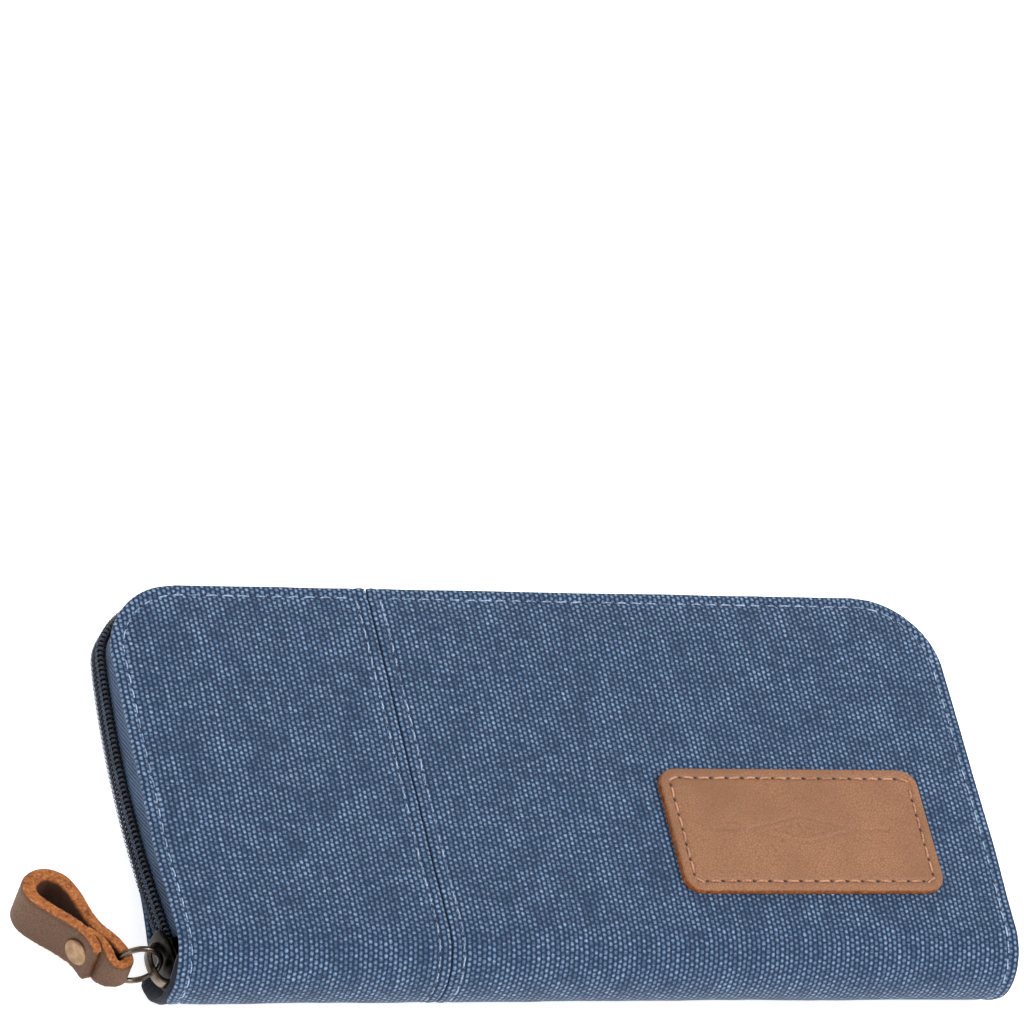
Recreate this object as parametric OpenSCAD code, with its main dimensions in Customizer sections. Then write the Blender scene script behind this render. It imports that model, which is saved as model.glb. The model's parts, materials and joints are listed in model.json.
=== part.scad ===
// Long zip-around wallet in washed canvas, with a leather patch and a leather
// pull strap. It lies on its back: +X to the right along the spine, +Y from
// the spine up to the top edge, +Z out of the front. Millimetres.

/* [Wallet] */
// Width across the canvas
wallet_w = 195; // [165:1:235]
// Height from the spine to the top edge of the canvas
wallet_h = 94; // [86:1:115]
// Thickness when closed, without the patch
wallet_t = 21; // [20:0.5:26]
// Radius of the two top corners
corner_r = 18; // [14:1:26]
// Thickness of the folded canvas
canvas_t = 1.2; // [0.8:0.1:1.4]
// Thickness of the stiffener board
board_t = 1.0; // [0.7:0.1:1.2]
// Thickness of the lining and of each card pocket panel
lining_t = 0.4; // [0.3:0.05:0.5]
// Distance of the seam between the two canvas panels from the left edge
seam_from_left = 61.1; // [40:0.1:80]
// Open gap between the two canvas panels
seam_gap = 0.6; // [0.4:0.1:1]

/* [Stitching] */
// Distance of the stitch rows from an edge or seam
stitch_inset = 2.7; // [2:0.1:4]
// Distance from one stitch to the next
stitch_pitch = 3.6; // [3:0.1:5]
// Length of one stitch
stitch_len = 2.7; // [2:0.1:2.8]
// Width of the thread
thread_w = 0.6; // [0.4:0.1:0.8]

/* [Zip] */
// Radius of the gentle bow of each side run
zip_bow_r = 300; // [250:10:400]
// Height of the widest point of the bow
zip_bow_y = 6; // [0:1:10]
// How far the middle of the chain stands outside the canvas edge
zip_overhang = 0.9; // [0.6:0.1:1.2]
// Thickness of the coil
coil_t = 2.2; // [1.8:0.1:2.4]
// Distance of the coil's outer edge from the middle of the chain
coil_reach = 3.1; // [2.7:0.1:3.4]
// Half of the gap between the two coils
coil_gap = 0.6; // [0.5:0.05:0.7]
// Thickness of the woven tape
tape_t = 0.5; // [0.4:0.05:0.6]
// Width of the tape sewn under the canvas
tape_hem = 9.5; // [7:0.5:12]

/* [Slider and ring] */
// Place of the closed slider along the left side
slider_y = -38; // [-39:0.5:-36]
// Length of the slider
slider_len = 12; // [10:0.5:13]
// Thickness of the slider's outer plate
plate_t = 1.2; // [0.8:0.1:1.4]
// Clearance between the slider and the coils or tape
slider_gap = 0.3; // [0.2:0.05:0.4]
// Height of the bridge above the outer plate
bridge_h = 3.4; // [3.2:0.1:4]
// Length of the bridge along the slider
bridge_len = 10; // [9:0.5:10.5]
// Width of the bridge
bridge_w = 2.4; // [2:0.1:3]
// Thickness of the bridge
bridge_t = 1.1; // [0.8:0.1:1.2]
// Mean radius of the pull ring
ring_r = 5; // [4.8:0.1:6]
// Diameter of the ring's wire
ring_wire = 1.24; // [1:0.02:1.4]
// Lean of the ring under the bridge, in degrees
ring_lean = 10; // [5:1:15]
// Swing of the ring away from straight out, in degrees
ring_swing = 9; // [0:1:15]

/* [Strap] */
// Width of the leather strap
strap_w = 10; // [8:0.5:11]
// Thickness of the strap leather
leather_t = 3; // [2.4:0.1:3.2]
// Distance from the ring's wire to the middle of the finger loop
loop_reach = 20; // [19:0.5:26]
// Inner radius of the finger loop
loop_r = 2.9; // [2.5:0.1:4]
// Swing of the strap away from straight out, in degrees
strap_swing = 54; // [45:1:60]
// Bore of the eye that holds the ring
eye_bore_r = 1.8; // [1.7:0.05:2]
// Distance of the rivet from the ring's wire
rivet_reach = 7.8; // [7.5:0.1:9]
// Diameter of the rivet's cap
rivet_cap_d = 6; // [5:0.1:7]

/* [Patch] */
// Width of the leather patch
patch_w = 61.8; // [50:0.1:75]
// Height of the leather patch
patch_h = 30.3; // [24:0.1:36]
// Thickness of the patch
patch_t = 1.6; // [1.2:0.1:2]
// Corner radius of the patch
patch_r = 4; // [3:0.5:7]
// Distance of the patch from the right edge
patch_from_right = 15.4; // [12:0.1:20]
// Distance of the patch from the lowest point of the spine
patch_from_spine = 18.4; // [16:0.1:24]

/* [Inside] */
// Width of the card pocket panels
pocket_w = 168; // [150:1:170]
// Step between the top edges of neighbouring card pockets
pocket_step = 8; // [6:0.5:10]
// Width of the coin pocket
coin_w = 168; // [150:1:170]
// Thickness of the coin pocket, walls included
coin_t = 3.6; // [3.2:0.1:4]
// Height of the coin pocket's zip above the middle of the wallet
coin_zip_y = 24; // [18:1:26]
// Travel of the coin pocket's slider
coin_travel = 140; // [110:1:144]
// Length of the coin pocket's pull
coin_pull_len = 13; // [10:0.5:14]

/* [Hidden] */
$fn = 64;

half_w = wallet_w / 2;
half_h = wallet_h / 2;
mid_z = wallet_t / 2;
spine_y = -half_h + mid_z;
corner_y = half_h - corner_r;
seam_x = -half_w + seam_from_left;
hinge_y = -half_h + 1.4;
groove_w = thread_w + 0.2;
groove_d = 0.35;
face_gap = 0.05;

// The chain: its middle line runs up a bowed side, round a corner and along the top.
bow_x = zip_bow_r - half_w - zip_overhang;
function side_x(y) = bow_x - sqrt(pow(zip_bow_r, 2) - pow(y - zip_bow_y, 2));
function side_turn(y) = asin((zip_bow_y - y) / zip_bow_r);
chain_corner_r = corner_r + zip_overhang;
chain_corner_x = -side_x(corner_y) - chain_corner_r;
chain_in = -coil_t / 2;
tape_in = chain_in - tape_t;
end_top_y = slider_y + slider_len / 2 + 1.5;
end_low_y = slider_y - slider_len / 2;
coil_low_y = slider_y - 2;
stop_h = 1.4;
run_gap = 0.2;

// Layers from the middle of each half outwards, as heights above the back face.
board_z = canvas_t;
lining_z = board_z + board_t;
pocket_z = lining_z + lining_t;
hem_t = 0.6;
board_gap = 0.8;

// Slider, in its own frame: x along the zip, y outwards, z across the chain.
plate_y = coil_t / 2 + slider_gap;
plate_top = plate_y + plate_t;
under_y = tape_in - slider_gap;
under_t = 1;
cheek_z = coil_reach + slider_gap + 0.05;
cheek_t = 0.95;
bridge_x = -1;
bridge_r = (pow(bridge_len / 2, 2) + pow(bridge_h, 2)) / (2 * bridge_h);
pivot_y = plate_top + 0.9;
pivot_z = 0.5;

// Strap, in its own frame: x along the strap, y out of its front, z across it.
eye_r = eye_bore_r + 2.3;
neck_x = eye_r - 0.5;
loop_out = loop_r + leather_t;
strap_front = 2.3;
loop_y = strap_front - loop_out;
strap_back = strap_front - 1.9 * leather_t;
post_r = 1.1;
eye_gap = 0.12;
eye_w = 2 * sqrt(pow(ring_r - ring_wire / 2, 2) - pow(ring_r - eye_bore_r + eye_gap, 2));

// Patch stitching.
patch_inset = 2.3;

// Coin pocket and its small zip.
coin_low = spine_y + 3;
coin_wall_t = 0.5;
coin_coil_t = 1.4;
coin_coil_in = 0.4;
coin_coil_out = 1.6;
coin_tape_t = 0.5;
coin_coil_y = coin_zip_y + coin_tape_t;
coin_plate_y = coin_coil_y + coin_coil_t + 0.3;
coin_start_x = -coin_travel / 2;
coin_slider_len = 8;
coin_bridge_y = coin_plate_y + 0.8;

// Outline of a flat panel, moved in from the canvas edge. The spine side is square,
// and a cutter drops a little below it.
module panel_outline(inset, drop = 0) {
    r = corner_r - inset;
    low_y = spine_y - drop;
    translate([-half_w + inset, low_y])
        square([wallet_w - 2 * inset, corner_y - low_y]);
    translate([-half_w + corner_r, low_y])
        square([wallet_w - 2 * corner_r, half_h - inset - low_y]);
    for (side = [-1, 1])
        translate([side * (half_w - corner_r), corner_y]) circle(r);
}

// Everything inside the chain's middle line moved out by reach, above low_y.
module chain_outline(reach, low_y) {
    intersection() {
        union() {
            translate([-wallet_w, low_y]) square([2 * wallet_w, corner_y - low_y]);
            translate([-chain_corner_x, corner_y])
                square([2 * chain_corner_x, chain_corner_r + reach]);
            for (side = [-1, 1])
                translate([side * chain_corner_x, corner_y]) circle(chain_corner_r + reach);
        }
        translate([bow_x, zip_bow_y]) circle(zip_bow_r + reach, $fn = 512);
        translate([-bow_x, zip_bow_y]) circle(zip_bow_r + reach, $fn = 512);
    }
}

// A band that follows the chain, between two reaches, from low_y up.
module chain_band(inner, outer, low_y) {
    difference() {
        chain_outline(outer, low_y);
        chain_outline(inner, low_y - 1);
    }
}

// Both side runs of such a band, between two heights.
module side_band(inner, outer, low_y, high_y, side) {
    intersection() {
        chain_band(inner, outer, low_y);
        translate([side * wallet_w / 2 - wallet_w / 4, low_y])
            square([wallet_w / 2, high_y - low_y]);
    }
}

// Front parts are made as back parts and turned over.
module as_front() {
    translate([0, 0, wallet_t]) mirror([0, 0, 1]) children();
}

module long_side() {
    intersection() {
        children();
        translate([seam_x + seam_gap / 2, -wallet_h])
            square([wallet_w, 2 * wallet_h]);
    }
}

module short_side() {
    intersection() {
        children();
        translate([seam_x - seam_gap / 2 - wallet_w, -wallet_h])
            square([wallet_w, 2 * wallet_h]);
    }
}

// The thread lies in shallow grooves round the edge and beside the seam.
module stitch_grooves() {
    difference() {
        panel_outline(stitch_inset - groove_w / 2);
        panel_outline(stitch_inset + groove_w / 2, 1);
    }
    for (side = [-1, 1])
        translate([seam_x + side * stitch_inset - groove_w / 2, spine_y])
            square([groove_w, half_h - stitch_inset - spine_y]);
}

module canvas_plate() {
    difference() {
        linear_extrude(canvas_t) children();
        translate([0, 0, -1]) linear_extrude(groove_d + 1) stitch_grooves();
    }
}

module stitch() {
    translate([-stitch_len / 2, -thread_w / 2, face_gap])
        cube([stitch_len, thread_w, groove_d - 2 * face_gap]);
}

// A straight row from a start point, with the stitches evenly spread over its length.
module stitch_line(start, length, turn) {
    count = floor(length / stitch_pitch);
    translate(start) rotate([0, 0, turn])
        for (i = [0:count - 1])
            translate([(i + 0.5) * length / count, 0, 0]) stitch();
}

module face_stitches() {
    side_x0 = half_w - stitch_inset;
    run_h = corner_y - spine_y;
    arc_r = corner_r - stitch_inset;
    arc_count = floor(arc_r * PI / 2 / stitch_pitch);
    for (side = [-1, 1]) {
        stitch_line([side * side_x0, spine_y, 0], run_h, 90);
        for (i = [0:arc_count - 1])
            translate([side * (half_w - corner_r), corner_y, 0])
                rotate([0, 0, 90 - side * (i + 0.5) * 90 / arc_count])
                    translate([arc_r, 0, 0]) rotate([0, 0, 90]) stitch();
        stitch_line([seam_x + side * stitch_inset, spine_y, 0],
            half_h - 2 * stitch_inset - spine_y, 90);
    }
    stitch_line([-half_w + corner_r, half_h - stitch_inset, 0],
        seam_x - stitch_inset + half_w - corner_r, 0);
    stitch_line([seam_x + stitch_inset, half_h - stitch_inset, 0],
        half_w - corner_r - seam_x - stitch_inset, 0);
}

// Canvas, board and lining of one half, lying at the back.
module half_board() {
    translate([0, 0, board_z]) linear_extrude(board_t) panel_outline(tape_hem + board_gap);
}

module half_lining() {
    translate([0, 0, lining_z]) linear_extrude(lining_t)
        chain_outline(tape_in - run_gap, spine_y);
}

module card_pocket(level) {
    top = half_h - 14 - level * pocket_step;
    low = spine_y + 4;
    translate([-pocket_w / 2, low, pocket_z + (level - 1) * lining_t])
        cube([pocket_w, top - low, lining_t]);
}

// Tape of one half: an upright band beside the coil and a hem under the canvas.
module half_tape() {
    translate([0, 0, canvas_t]) linear_extrude(mid_z - coil_gap - canvas_t)
        chain_band(tape_in, chain_in, end_top_y + run_gap);
    translate([0, 0, canvas_t]) linear_extrude(hem_t)
        difference() {
            chain_outline(chain_in, spine_y);
            panel_outline(tape_hem, 1);
        }
}

module half_coil() {
    translate([0, 0, mid_z - coil_reach]) linear_extrude(coil_reach - coil_gap)
        chain_band(chain_in, -chain_in, end_top_y + run_gap);
}

// The spine is half a tube that joins the two canvas faces.
module spine_tube(outer, inner, x0, x1) {
    translate([x0, spine_y, mid_z]) rotate([0, 90, 0])
        difference() {
            linear_extrude(x1 - x0) difference() {
                circle(outer, $fn = 128);
                circle(inner, $fn = 128);
            }
            translate([-wallet_t, 0, -1]) cube([2 * wallet_t, wallet_t, x1 - x0 + 2]);
        }
}

module spine_groove(x0) {
    spine_tube(mid_z + 1, mid_z - groove_d, x0 - groove_w / 2, x0 + groove_w / 2);
}

module spine_canvas(x0, x1) {
    difference() {
        spine_tube(mid_z, mid_z - canvas_t, x0, x1);
        for (side = [-1, 1]) {
            spine_groove(seam_x + side * stitch_inset);
            spine_groove(side * (half_w - stitch_inset));
        }
    }
}

// Parts of the zip that stay closed beside the spine.
module inside_spine(radius) {
    intersection() {
        children();
        union() {
            translate([-wallet_w, spine_y, mid_z - radius])
                cube([2 * wallet_w, wallet_h, 2 * radius]);
            translate([-wallet_w, spine_y, mid_z]) rotate([0, 90, 0])
                cylinder(r = radius, h = 2 * wallet_w);
        }
    }
}

// The front half swings about the hinge line, so its side of an end part is rounded off.
module clear_of_swing() {
    intersection() {
        children();
        translate([-wallet_w, hinge_y, mid_z]) rotate([0, 90, 0])
            cylinder(r = end_top_y - hinge_y, h = 2 * wallet_w, $fn = 256);
    }
}

module end_tape(side) {
    inside_spine(mid_z - canvas_t - lining_t - 0.6) union() {
        linear_extrude(mid_z - coil_gap)
            side_band(tape_in, chain_in, end_low_y, end_top_y, side);
        clear_of_swing() translate([0, 0, mid_z + coil_gap])
            linear_extrude(mid_z - coil_gap)
                side_band(tape_in, chain_in, end_low_y, end_top_y, side);
    }
}

module end_strip(low_y, high_y, side, gap) {
    translate([0, 0, mid_z - coil_reach]) linear_extrude(coil_reach - gap)
        side_band(chain_in, -chain_in, low_y, high_y, side);
    clear_of_swing() translate([0, 0, mid_z + gap]) linear_extrude(coil_reach - gap)
        side_band(chain_in, -chain_in, low_y, high_y, side);
}

// A fabric tab closes each end of the spine behind the zip.
module end_tab(side) {
    tab_t = 0.8;
    tab_r = mid_z - pocket_z - 0.1;
    tab_x = -side_x(slider_y) + under_y - under_t - 1.2;
    translate([side > 0 ? tab_x - tab_t : -tab_x, spine_y, mid_z]) rotate([0, 90, 0])
        linear_extrude(tab_t) {
            intersection() {
                circle(tab_r);
                translate([-tab_r, -tab_r]) square([2 * tab_r, tab_r]);
            }
            translate([-tab_r, -0.01]) square([2 * tab_r, 6]);
        }
}

module gusset(side) {
    gusset_t = 1;
    gusset_x = pocket_w / 2 + 4.5;
    translate([side > 0 ? gusset_x - gusset_t : -gusset_x, spine_y + 3, pocket_z])
        cube([gusset_t, wallet_h - mid_z - 18, wallet_t - 2 * pocket_z]);
}

module rounded_plate(w, h, r) {
    translate([-w / 2 + r, -h / 2]) square([w - 2 * r, h]);
    translate([-w / 2, -h / 2 + r]) square([w, h - 2 * r]);
    for (x = [-1, 1], y = [-1, 1])
        translate([x * (w / 2 - r), y * (h / 2 - r)]) circle(r);
}

module on_patch() {
    translate([half_w - patch_from_right - patch_w / 2,
        -half_h + patch_from_spine + patch_h / 2, wallet_t]) children();
}

module patch_groove(extra) {
    difference() {
        rounded_plate(patch_w - 2 * patch_inset + extra, patch_h - 2 * patch_inset + extra,
            patch_r - patch_inset + extra / 2);
        rounded_plate(patch_w - 2 * patch_inset - extra, patch_h - 2 * patch_inset - extra,
            patch_r - patch_inset - extra / 2);
    }
}

// Everything on the slider is placed in the slider's own frame.
module on_zip() {
    translate([side_x(slider_y), slider_y, mid_z])
        rotate([0, 0, 90 + side_turn(slider_y)]) children();
}

module upright(y, t) {
    translate([0, y + t, 0]) rotate([90, 0, 0]) linear_extrude(t) children();
}

module slider_plan() {
    half_len = slider_len / 2;
    half_wide = cheek_z + cheek_t;
    polygon([
        [-half_len, -half_wide + 1.6], [-half_len + 1.8, -half_wide],
        [half_len - 3, -half_wide], [half_len, -half_wide + 1.2],
        [half_len, half_wide - 1.2], [half_len - 3, half_wide],
        [-half_len + 1.8, half_wide], [-half_len, half_wide - 1.6]
    ]);
}

module on_ring() {
    on_zip() translate([bridge_x, pivot_y, pivot_z])
        rotate([0, ring_lean, 0]) rotate([0, 0, -ring_swing]) children();
}

module on_strap() {
    on_ring() translate([0, 2 * ring_r, 0])
        rotate([0, 0, 90 + ring_swing - strap_swing]) children();
}

module strap_side_view() {
    translate([loop_reach, loop_y]) circle(loop_out);
    polygon([
        [neck_x, strap_front], [loop_reach, loop_y + loop_out],
        [loop_reach - loop_out * 0.5, loop_y - loop_out * 0.86],
        [rivet_reach + rivet_cap_d / 2, strap_back], [neck_x, strap_back]
    ]);
}

module finger_hole() {
    translate([loop_reach, loop_y]) circle(loop_r);
    polygon([
        [loop_reach, loop_y + loop_r], [loop_reach - loop_r * 0.5, loop_y - loop_r * 0.86],
        [rivet_reach + rivet_cap_d / 2, loop_y + leather_t * 0.35]
    ]);
}

module through_strap(y, t) {
    translate([rivet_reach, y + t, 0]) rotate([90, 0, 0]) linear_extrude(t) children();
}

module on_coin_slider() {
    translate([coin_start_x, 0, mid_z]) children();
}

// ---- back half ----
module back_canvas_long() {
    color("steelblue") canvas_plate() long_side() panel_outline(0);
}

module back_canvas_short() {
    color("steelblue") canvas_plate() short_side() panel_outline(0);
}

module back_stitching() {
    color("lightsteelblue") face_stitches();
}

module back_board() {
    color("tan") half_board();
}

module back_lining() {
    color("midnightblue") half_lining();
}

module back_card_pocket_1() {
    color("navy") card_pocket(1);
}

module back_card_pocket_2() {
    color("navy") card_pocket(2);
}

module back_card_pocket_3() {
    color("navy") card_pocket(3);
}

module spine_canvas_long() {
    color("steelblue") spine_canvas(seam_x + seam_gap / 2, half_w);
}

module spine_canvas_short() {
    color("steelblue") spine_canvas(-half_w, seam_x - seam_gap / 2);
}

module spine_stitching() {
    count = floor(PI * mid_z / stitch_pitch);
    mid_r = mid_z - groove_d / 2;
    color("lightsteelblue")
        for (x0 = [seam_x - stitch_inset, seam_x + stitch_inset,
                -half_w + stitch_inset, half_w - stitch_inset])
            for (i = [0:count - 1])
                translate([x0, spine_y, mid_z])
                    rotate([-(i + 0.5) * 180 / count, 0, 0])
                        translate([0, 0, -mid_r])
                            cube([thread_w, stitch_len * 0.6, 0.12], center = true);
}

module spine_lining() {
    inner = half_w - 7;
    color("midnightblue")
        spine_tube(mid_z - canvas_t - 0.1, mid_z - canvas_t - 0.1 - lining_t, -inner, inner);
}

module zip_tape_back() {
    color("slategray") half_tape();
}

module zip_coil_back() {
    color("darkslategray") half_coil();
}

module zip_end_tape_left() {
    color("slategray") end_tape(-1);
}

module zip_end_tape_right() {
    color("slategray") end_tape(1);
}

module zip_end_coil_left() {
    color("darkslategray") end_strip(coil_low_y, end_top_y, -1, coil_gap);
}

module zip_end_coil_right() {
    color("darkslategray") end_strip(coil_low_y, end_top_y, 1, coil_gap);
}

module zip_top_stops() {
    color("dimgray") end_strip(coil_low_y - stop_h, coil_low_y, -1, coil_gap);
}

module zip_bottom_stop() {
    color("dimgray") end_strip(coil_low_y - stop_h, coil_low_y, 1, 0);
}

module zip_end_tab_left() {
    color("midnightblue") end_tab(-1);
}

module zip_end_tab_right() {
    color("midnightblue") end_tab(1);
}

module gusset_left() {
    color("midnightblue") gusset(-1);
}

module gusset_right() {
    color("midnightblue") gusset(1);
}

// ---- front half ----
module front_canvas_long() {
    color("steelblue") as_front() canvas_plate() long_side() panel_outline(0);
}

module front_canvas_short() {
    color("steelblue") as_front() canvas_plate() short_side() panel_outline(0);
}

module front_stitching() {
    color("lightsteelblue") as_front() face_stitches();
}

module front_board() {
    color("tan") as_front() half_board();
}

module front_lining() {
    color("midnightblue") as_front() half_lining();
}

module front_card_pocket_1() {
    color("navy") as_front() card_pocket(1);
}

module front_card_pocket_2() {
    color("navy") as_front() card_pocket(2);
}

module front_card_pocket_3() {
    color("navy") as_front() card_pocket(3);
}

module leather_patch() {
    color("peru") on_patch() difference() {
        linear_extrude(patch_t) rounded_plate(patch_w, patch_h, patch_r);
        translate([0, 0, patch_t - groove_d]) linear_extrude(1) patch_groove(groove_w);
    }
}

module patch_stitching() {
    run_w = patch_w - 2 * patch_r;
    run_h = patch_h - 2 * patch_r;
    color("rosybrown") on_patch() translate([0, 0, patch_t - groove_d])
        for (side = [-1, 1]) {
            stitch_line([-run_w / 2, side * (patch_h / 2 - patch_inset), 0], run_w, 0);
            stitch_line([side * (patch_w / 2 - patch_inset), -run_h / 2, 0], run_h, 90);
        }
}

module zip_tape_front() {
    color("slategray") as_front() half_tape();
}

module zip_coil_front() {
    color("darkslategray") as_front() half_coil();
}

// ---- coin pocket ----
module coin_wall() {
    translate([-coin_w / 2, coin_low, mid_z - coin_t / 2])
        cube([coin_w, coin_zip_y - coin_low, coin_wall_t]);
}

module coin_wall_back() {
    color("navy") coin_wall();
}

module coin_wall_front() {
    color("navy") as_front() coin_wall();
}

module coin_pocket_base() {
    color("midnightblue")
        translate([-coin_w / 2, coin_low, mid_z - coin_t / 2 + coin_wall_t])
            cube([coin_w, 2, coin_t - 2 * coin_wall_t]);
}

module coin_zip_tape() {
    color("slategray")
        for (half = [-1, 1])
            translate([-coin_w / 2, coin_zip_y,
                mid_z + (half < 0 ? -coin_t / 2 : coin_coil_in)])
                cube([coin_w, coin_tape_t, coin_t / 2 - coin_coil_in]);
}

module coin_zip_coil() {
    run = coin_travel + coin_slider_len + 6;
    color("darkslategray")
        for (half = [-1, 1])
            translate([-run / 2, coin_coil_y,
                mid_z + (half < 0 ? -coin_coil_out : coin_coil_in)])
                cube([run, coin_coil_t, coin_coil_out - coin_coil_in]);
}

module coin_slider() {
    reach = coin_coil_out + 0.25;
    cheek = 0.6;
    under = coin_zip_y - 0.3;
    color("dimgray") on_coin_slider() {
        translate([-coin_slider_len / 2, coin_plate_y, -reach - cheek])
            cube([coin_slider_len, 0.8, 2 * (reach + cheek)]);
        for (half = [-1, 1])
            translate([-coin_slider_len / 2, coin_coil_y + 0.3,
                half < 0 ? -reach - cheek : reach])
                cube([coin_slider_len, coin_plate_y - coin_coil_y, cheek]);
        translate([-coin_slider_len / 2, under - 0.7, -1])
            cube([coin_slider_len, 0.7, 2]);
        translate([-coin_slider_len / 2 + 0.6, under - 0.2, -0.2])
            cube([1.6, coin_plate_y - under + 0.4, 0.4]);
        translate([0, coin_bridge_y, 0])
            linear_extrude(1.2, center = true) difference() {
                intersection() {
                    circle(2.6);
                    translate([-3, -0.2]) square([6, 3]);
                }
                circle(1.7);
            }
    }
}

// The pull's eye hangs in the bridge, and its blade lies along the zip.
module coin_pull() {
    eye_in = 1.0;
    eye_out = 1.8;
    blade_w = 3;
    color("dimgray") on_coin_slider() translate([0, coin_bridge_y, 0])
        difference() {
            union() {
                translate([0, 0.85, 0]) cylinder(d = 0.9, h = blade_w, center = true);
                for (half = [-1, 1])
                    translate([0, 0.4, half * blade_w / 2 - 0.35])
                        cube([coin_pull_len, 0.9, 0.7]);
                translate([eye_out + eye_in + 1, 0.4, -blade_w / 2])
                    cube([coin_pull_len - eye_out - eye_in - 1, 0.9, blade_w]);
            }
            translate([coin_pull_len - 1.8, 0, 0]) rotate([-90, 0, 0])
                cylinder(r = 0.7, h = 3);
        }
}

// ---- slider, ring and strap ----
module slider_body() {
    color("dimgray") on_zip() {
        upright(plate_y, plate_t) slider_plan();
        upright(under_y - under_t, under_t) slider_plan();
        for (half = [-1, 1])
            translate([-slider_len / 2 + 1.8, -0.7, half < 0 ? -cheek_z - cheek_t : cheek_z])
                cube([slider_len - 4.8, plate_y + 0.71, cheek_t]);
        translate([-slider_len / 2 + 0.6, under_y - 0.2, -coil_gap + 0.25])
            cube([2.4, plate_y - under_y + 0.4, 2 * (coil_gap - 0.25)]);
    }
}

module slider_bridge() {
    color("gray") on_zip()
        linear_extrude(bridge_w, center = true)
            intersection() {
                translate([bridge_x, plate_top + bridge_h - bridge_r]) difference() {
                    circle(bridge_r);
                    circle(bridge_r - bridge_t);
                }
                translate([-slider_len, plate_top]) square([2 * slider_len, bridge_h + 1]);
            }
}

module pull_ring() {
    color("gray") on_ring() translate([0, ring_r, 0]) rotate([0, 90, 0])
        rotate_extrude() translate([ring_r, 0]) circle(ring_wire / 2);
}

module pull_strap() {
    color("chocolate") on_strap() difference() {
        union() {
            linear_extrude(strap_w, center = true) strap_side_view();
            linear_extrude(eye_w, center = true) {
                circle(eye_r);
                translate([0, strap_back]) square([neck_x + 0.5, strap_front - strap_back]);
            }
        }
        cylinder(r = eye_bore_r, h = strap_w + 2, center = true);
        linear_extrude(strap_w + 2, center = true) finger_hole();
        through_strap(strap_back - 1, strap_front - strap_back + 2) circle(post_r);
    }
}

module rivet_cap() {
    color("burlywood") on_strap() through_strap(strap_front, 0.7) circle(d = rivet_cap_d);
}

module rivet_post() {
    color("burlywood") on_strap() {
        through_strap(strap_back - 0.05, strap_front - strap_back + 0.05) circle(post_r - 0.02);
        through_strap(strap_back - 0.65, 0.65) circle(d = rivet_cap_d - 0.8);
    }
}

back_canvas_long();
back_canvas_short();
back_stitching();
back_board();
back_lining();
back_card_pocket_1();
back_card_pocket_2();
back_card_pocket_3();
spine_canvas_long();
spine_canvas_short();
spine_stitching();
spine_lining();
zip_tape_back();
zip_coil_back();
zip_end_tape_left();
zip_end_tape_right();
zip_end_coil_left();
zip_end_coil_right();
zip_top_stops();
zip_bottom_stop();
zip_end_tab_left();
zip_end_tab_right();
gusset_left();
gusset_right();
front_canvas_long();
front_canvas_short();
front_stitching();
front_board();
front_lining();
front_card_pocket_1();
front_card_pocket_2();
front_card_pocket_3();
leather_patch();
patch_stitching();
zip_tape_front();
zip_coil_front();
coin_wall_back();
coin_wall_front();
coin_pocket_base();
coin_zip_tape();
coin_zip_coil();
slider_body();
slider_bridge();
pull_ring();
pull_strap();
rivet_cap();
rivet_post();
coin_slider();
coin_pull();
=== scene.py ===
# The looks of a zip-around canvas wallet with a leather patch and pull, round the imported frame.
import json
import math

import bmesh
import bpy
import numpy as np
from mathutils import Matrix, Vector, noise


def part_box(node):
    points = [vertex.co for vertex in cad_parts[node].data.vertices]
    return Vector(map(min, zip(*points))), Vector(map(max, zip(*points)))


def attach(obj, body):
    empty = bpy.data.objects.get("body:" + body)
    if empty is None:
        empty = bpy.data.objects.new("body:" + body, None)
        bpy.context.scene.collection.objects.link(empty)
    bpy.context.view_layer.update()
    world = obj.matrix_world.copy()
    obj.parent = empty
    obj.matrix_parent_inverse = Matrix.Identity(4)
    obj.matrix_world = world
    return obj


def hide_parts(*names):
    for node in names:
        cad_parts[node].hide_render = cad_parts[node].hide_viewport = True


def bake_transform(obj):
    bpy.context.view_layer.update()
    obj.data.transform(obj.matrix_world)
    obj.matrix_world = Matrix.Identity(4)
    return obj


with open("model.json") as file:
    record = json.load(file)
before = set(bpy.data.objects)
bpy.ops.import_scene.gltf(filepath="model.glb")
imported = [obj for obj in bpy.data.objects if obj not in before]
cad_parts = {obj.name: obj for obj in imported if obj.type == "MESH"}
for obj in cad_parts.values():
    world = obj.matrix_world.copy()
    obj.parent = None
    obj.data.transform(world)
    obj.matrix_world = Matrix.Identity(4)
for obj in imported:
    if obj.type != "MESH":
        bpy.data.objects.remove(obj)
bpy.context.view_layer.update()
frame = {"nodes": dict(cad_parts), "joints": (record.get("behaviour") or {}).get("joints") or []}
mm = 0.001
jointAt = {j["name"]: (np.array(j["pos_m"]) / mm, np.array(j["axis"], float))
           for j in frame["joints"] if j.get("pos_m")}


def boxMm(node):
    low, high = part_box(node)
    return np.array(low) / mm, np.array(high) / mm


frontLow, frontHigh = boxMm("front_canvas_long")
halfW, topY, thick = frontHigh
spineY = frontLow[1]
midZ = thick / 2
seamX = (boxMm("front_canvas_short")[1][0] + frontLow[0]) / 2

# Camera, floor and light.

view = {
    "place": (-0.66149, -0.73652, 1.21191),
    "right": (0.90753, -0.21443, 0.36112),
    "up": (-0.02215, 0.83421, 0.551),
    "lens": 256.3,
}


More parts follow.
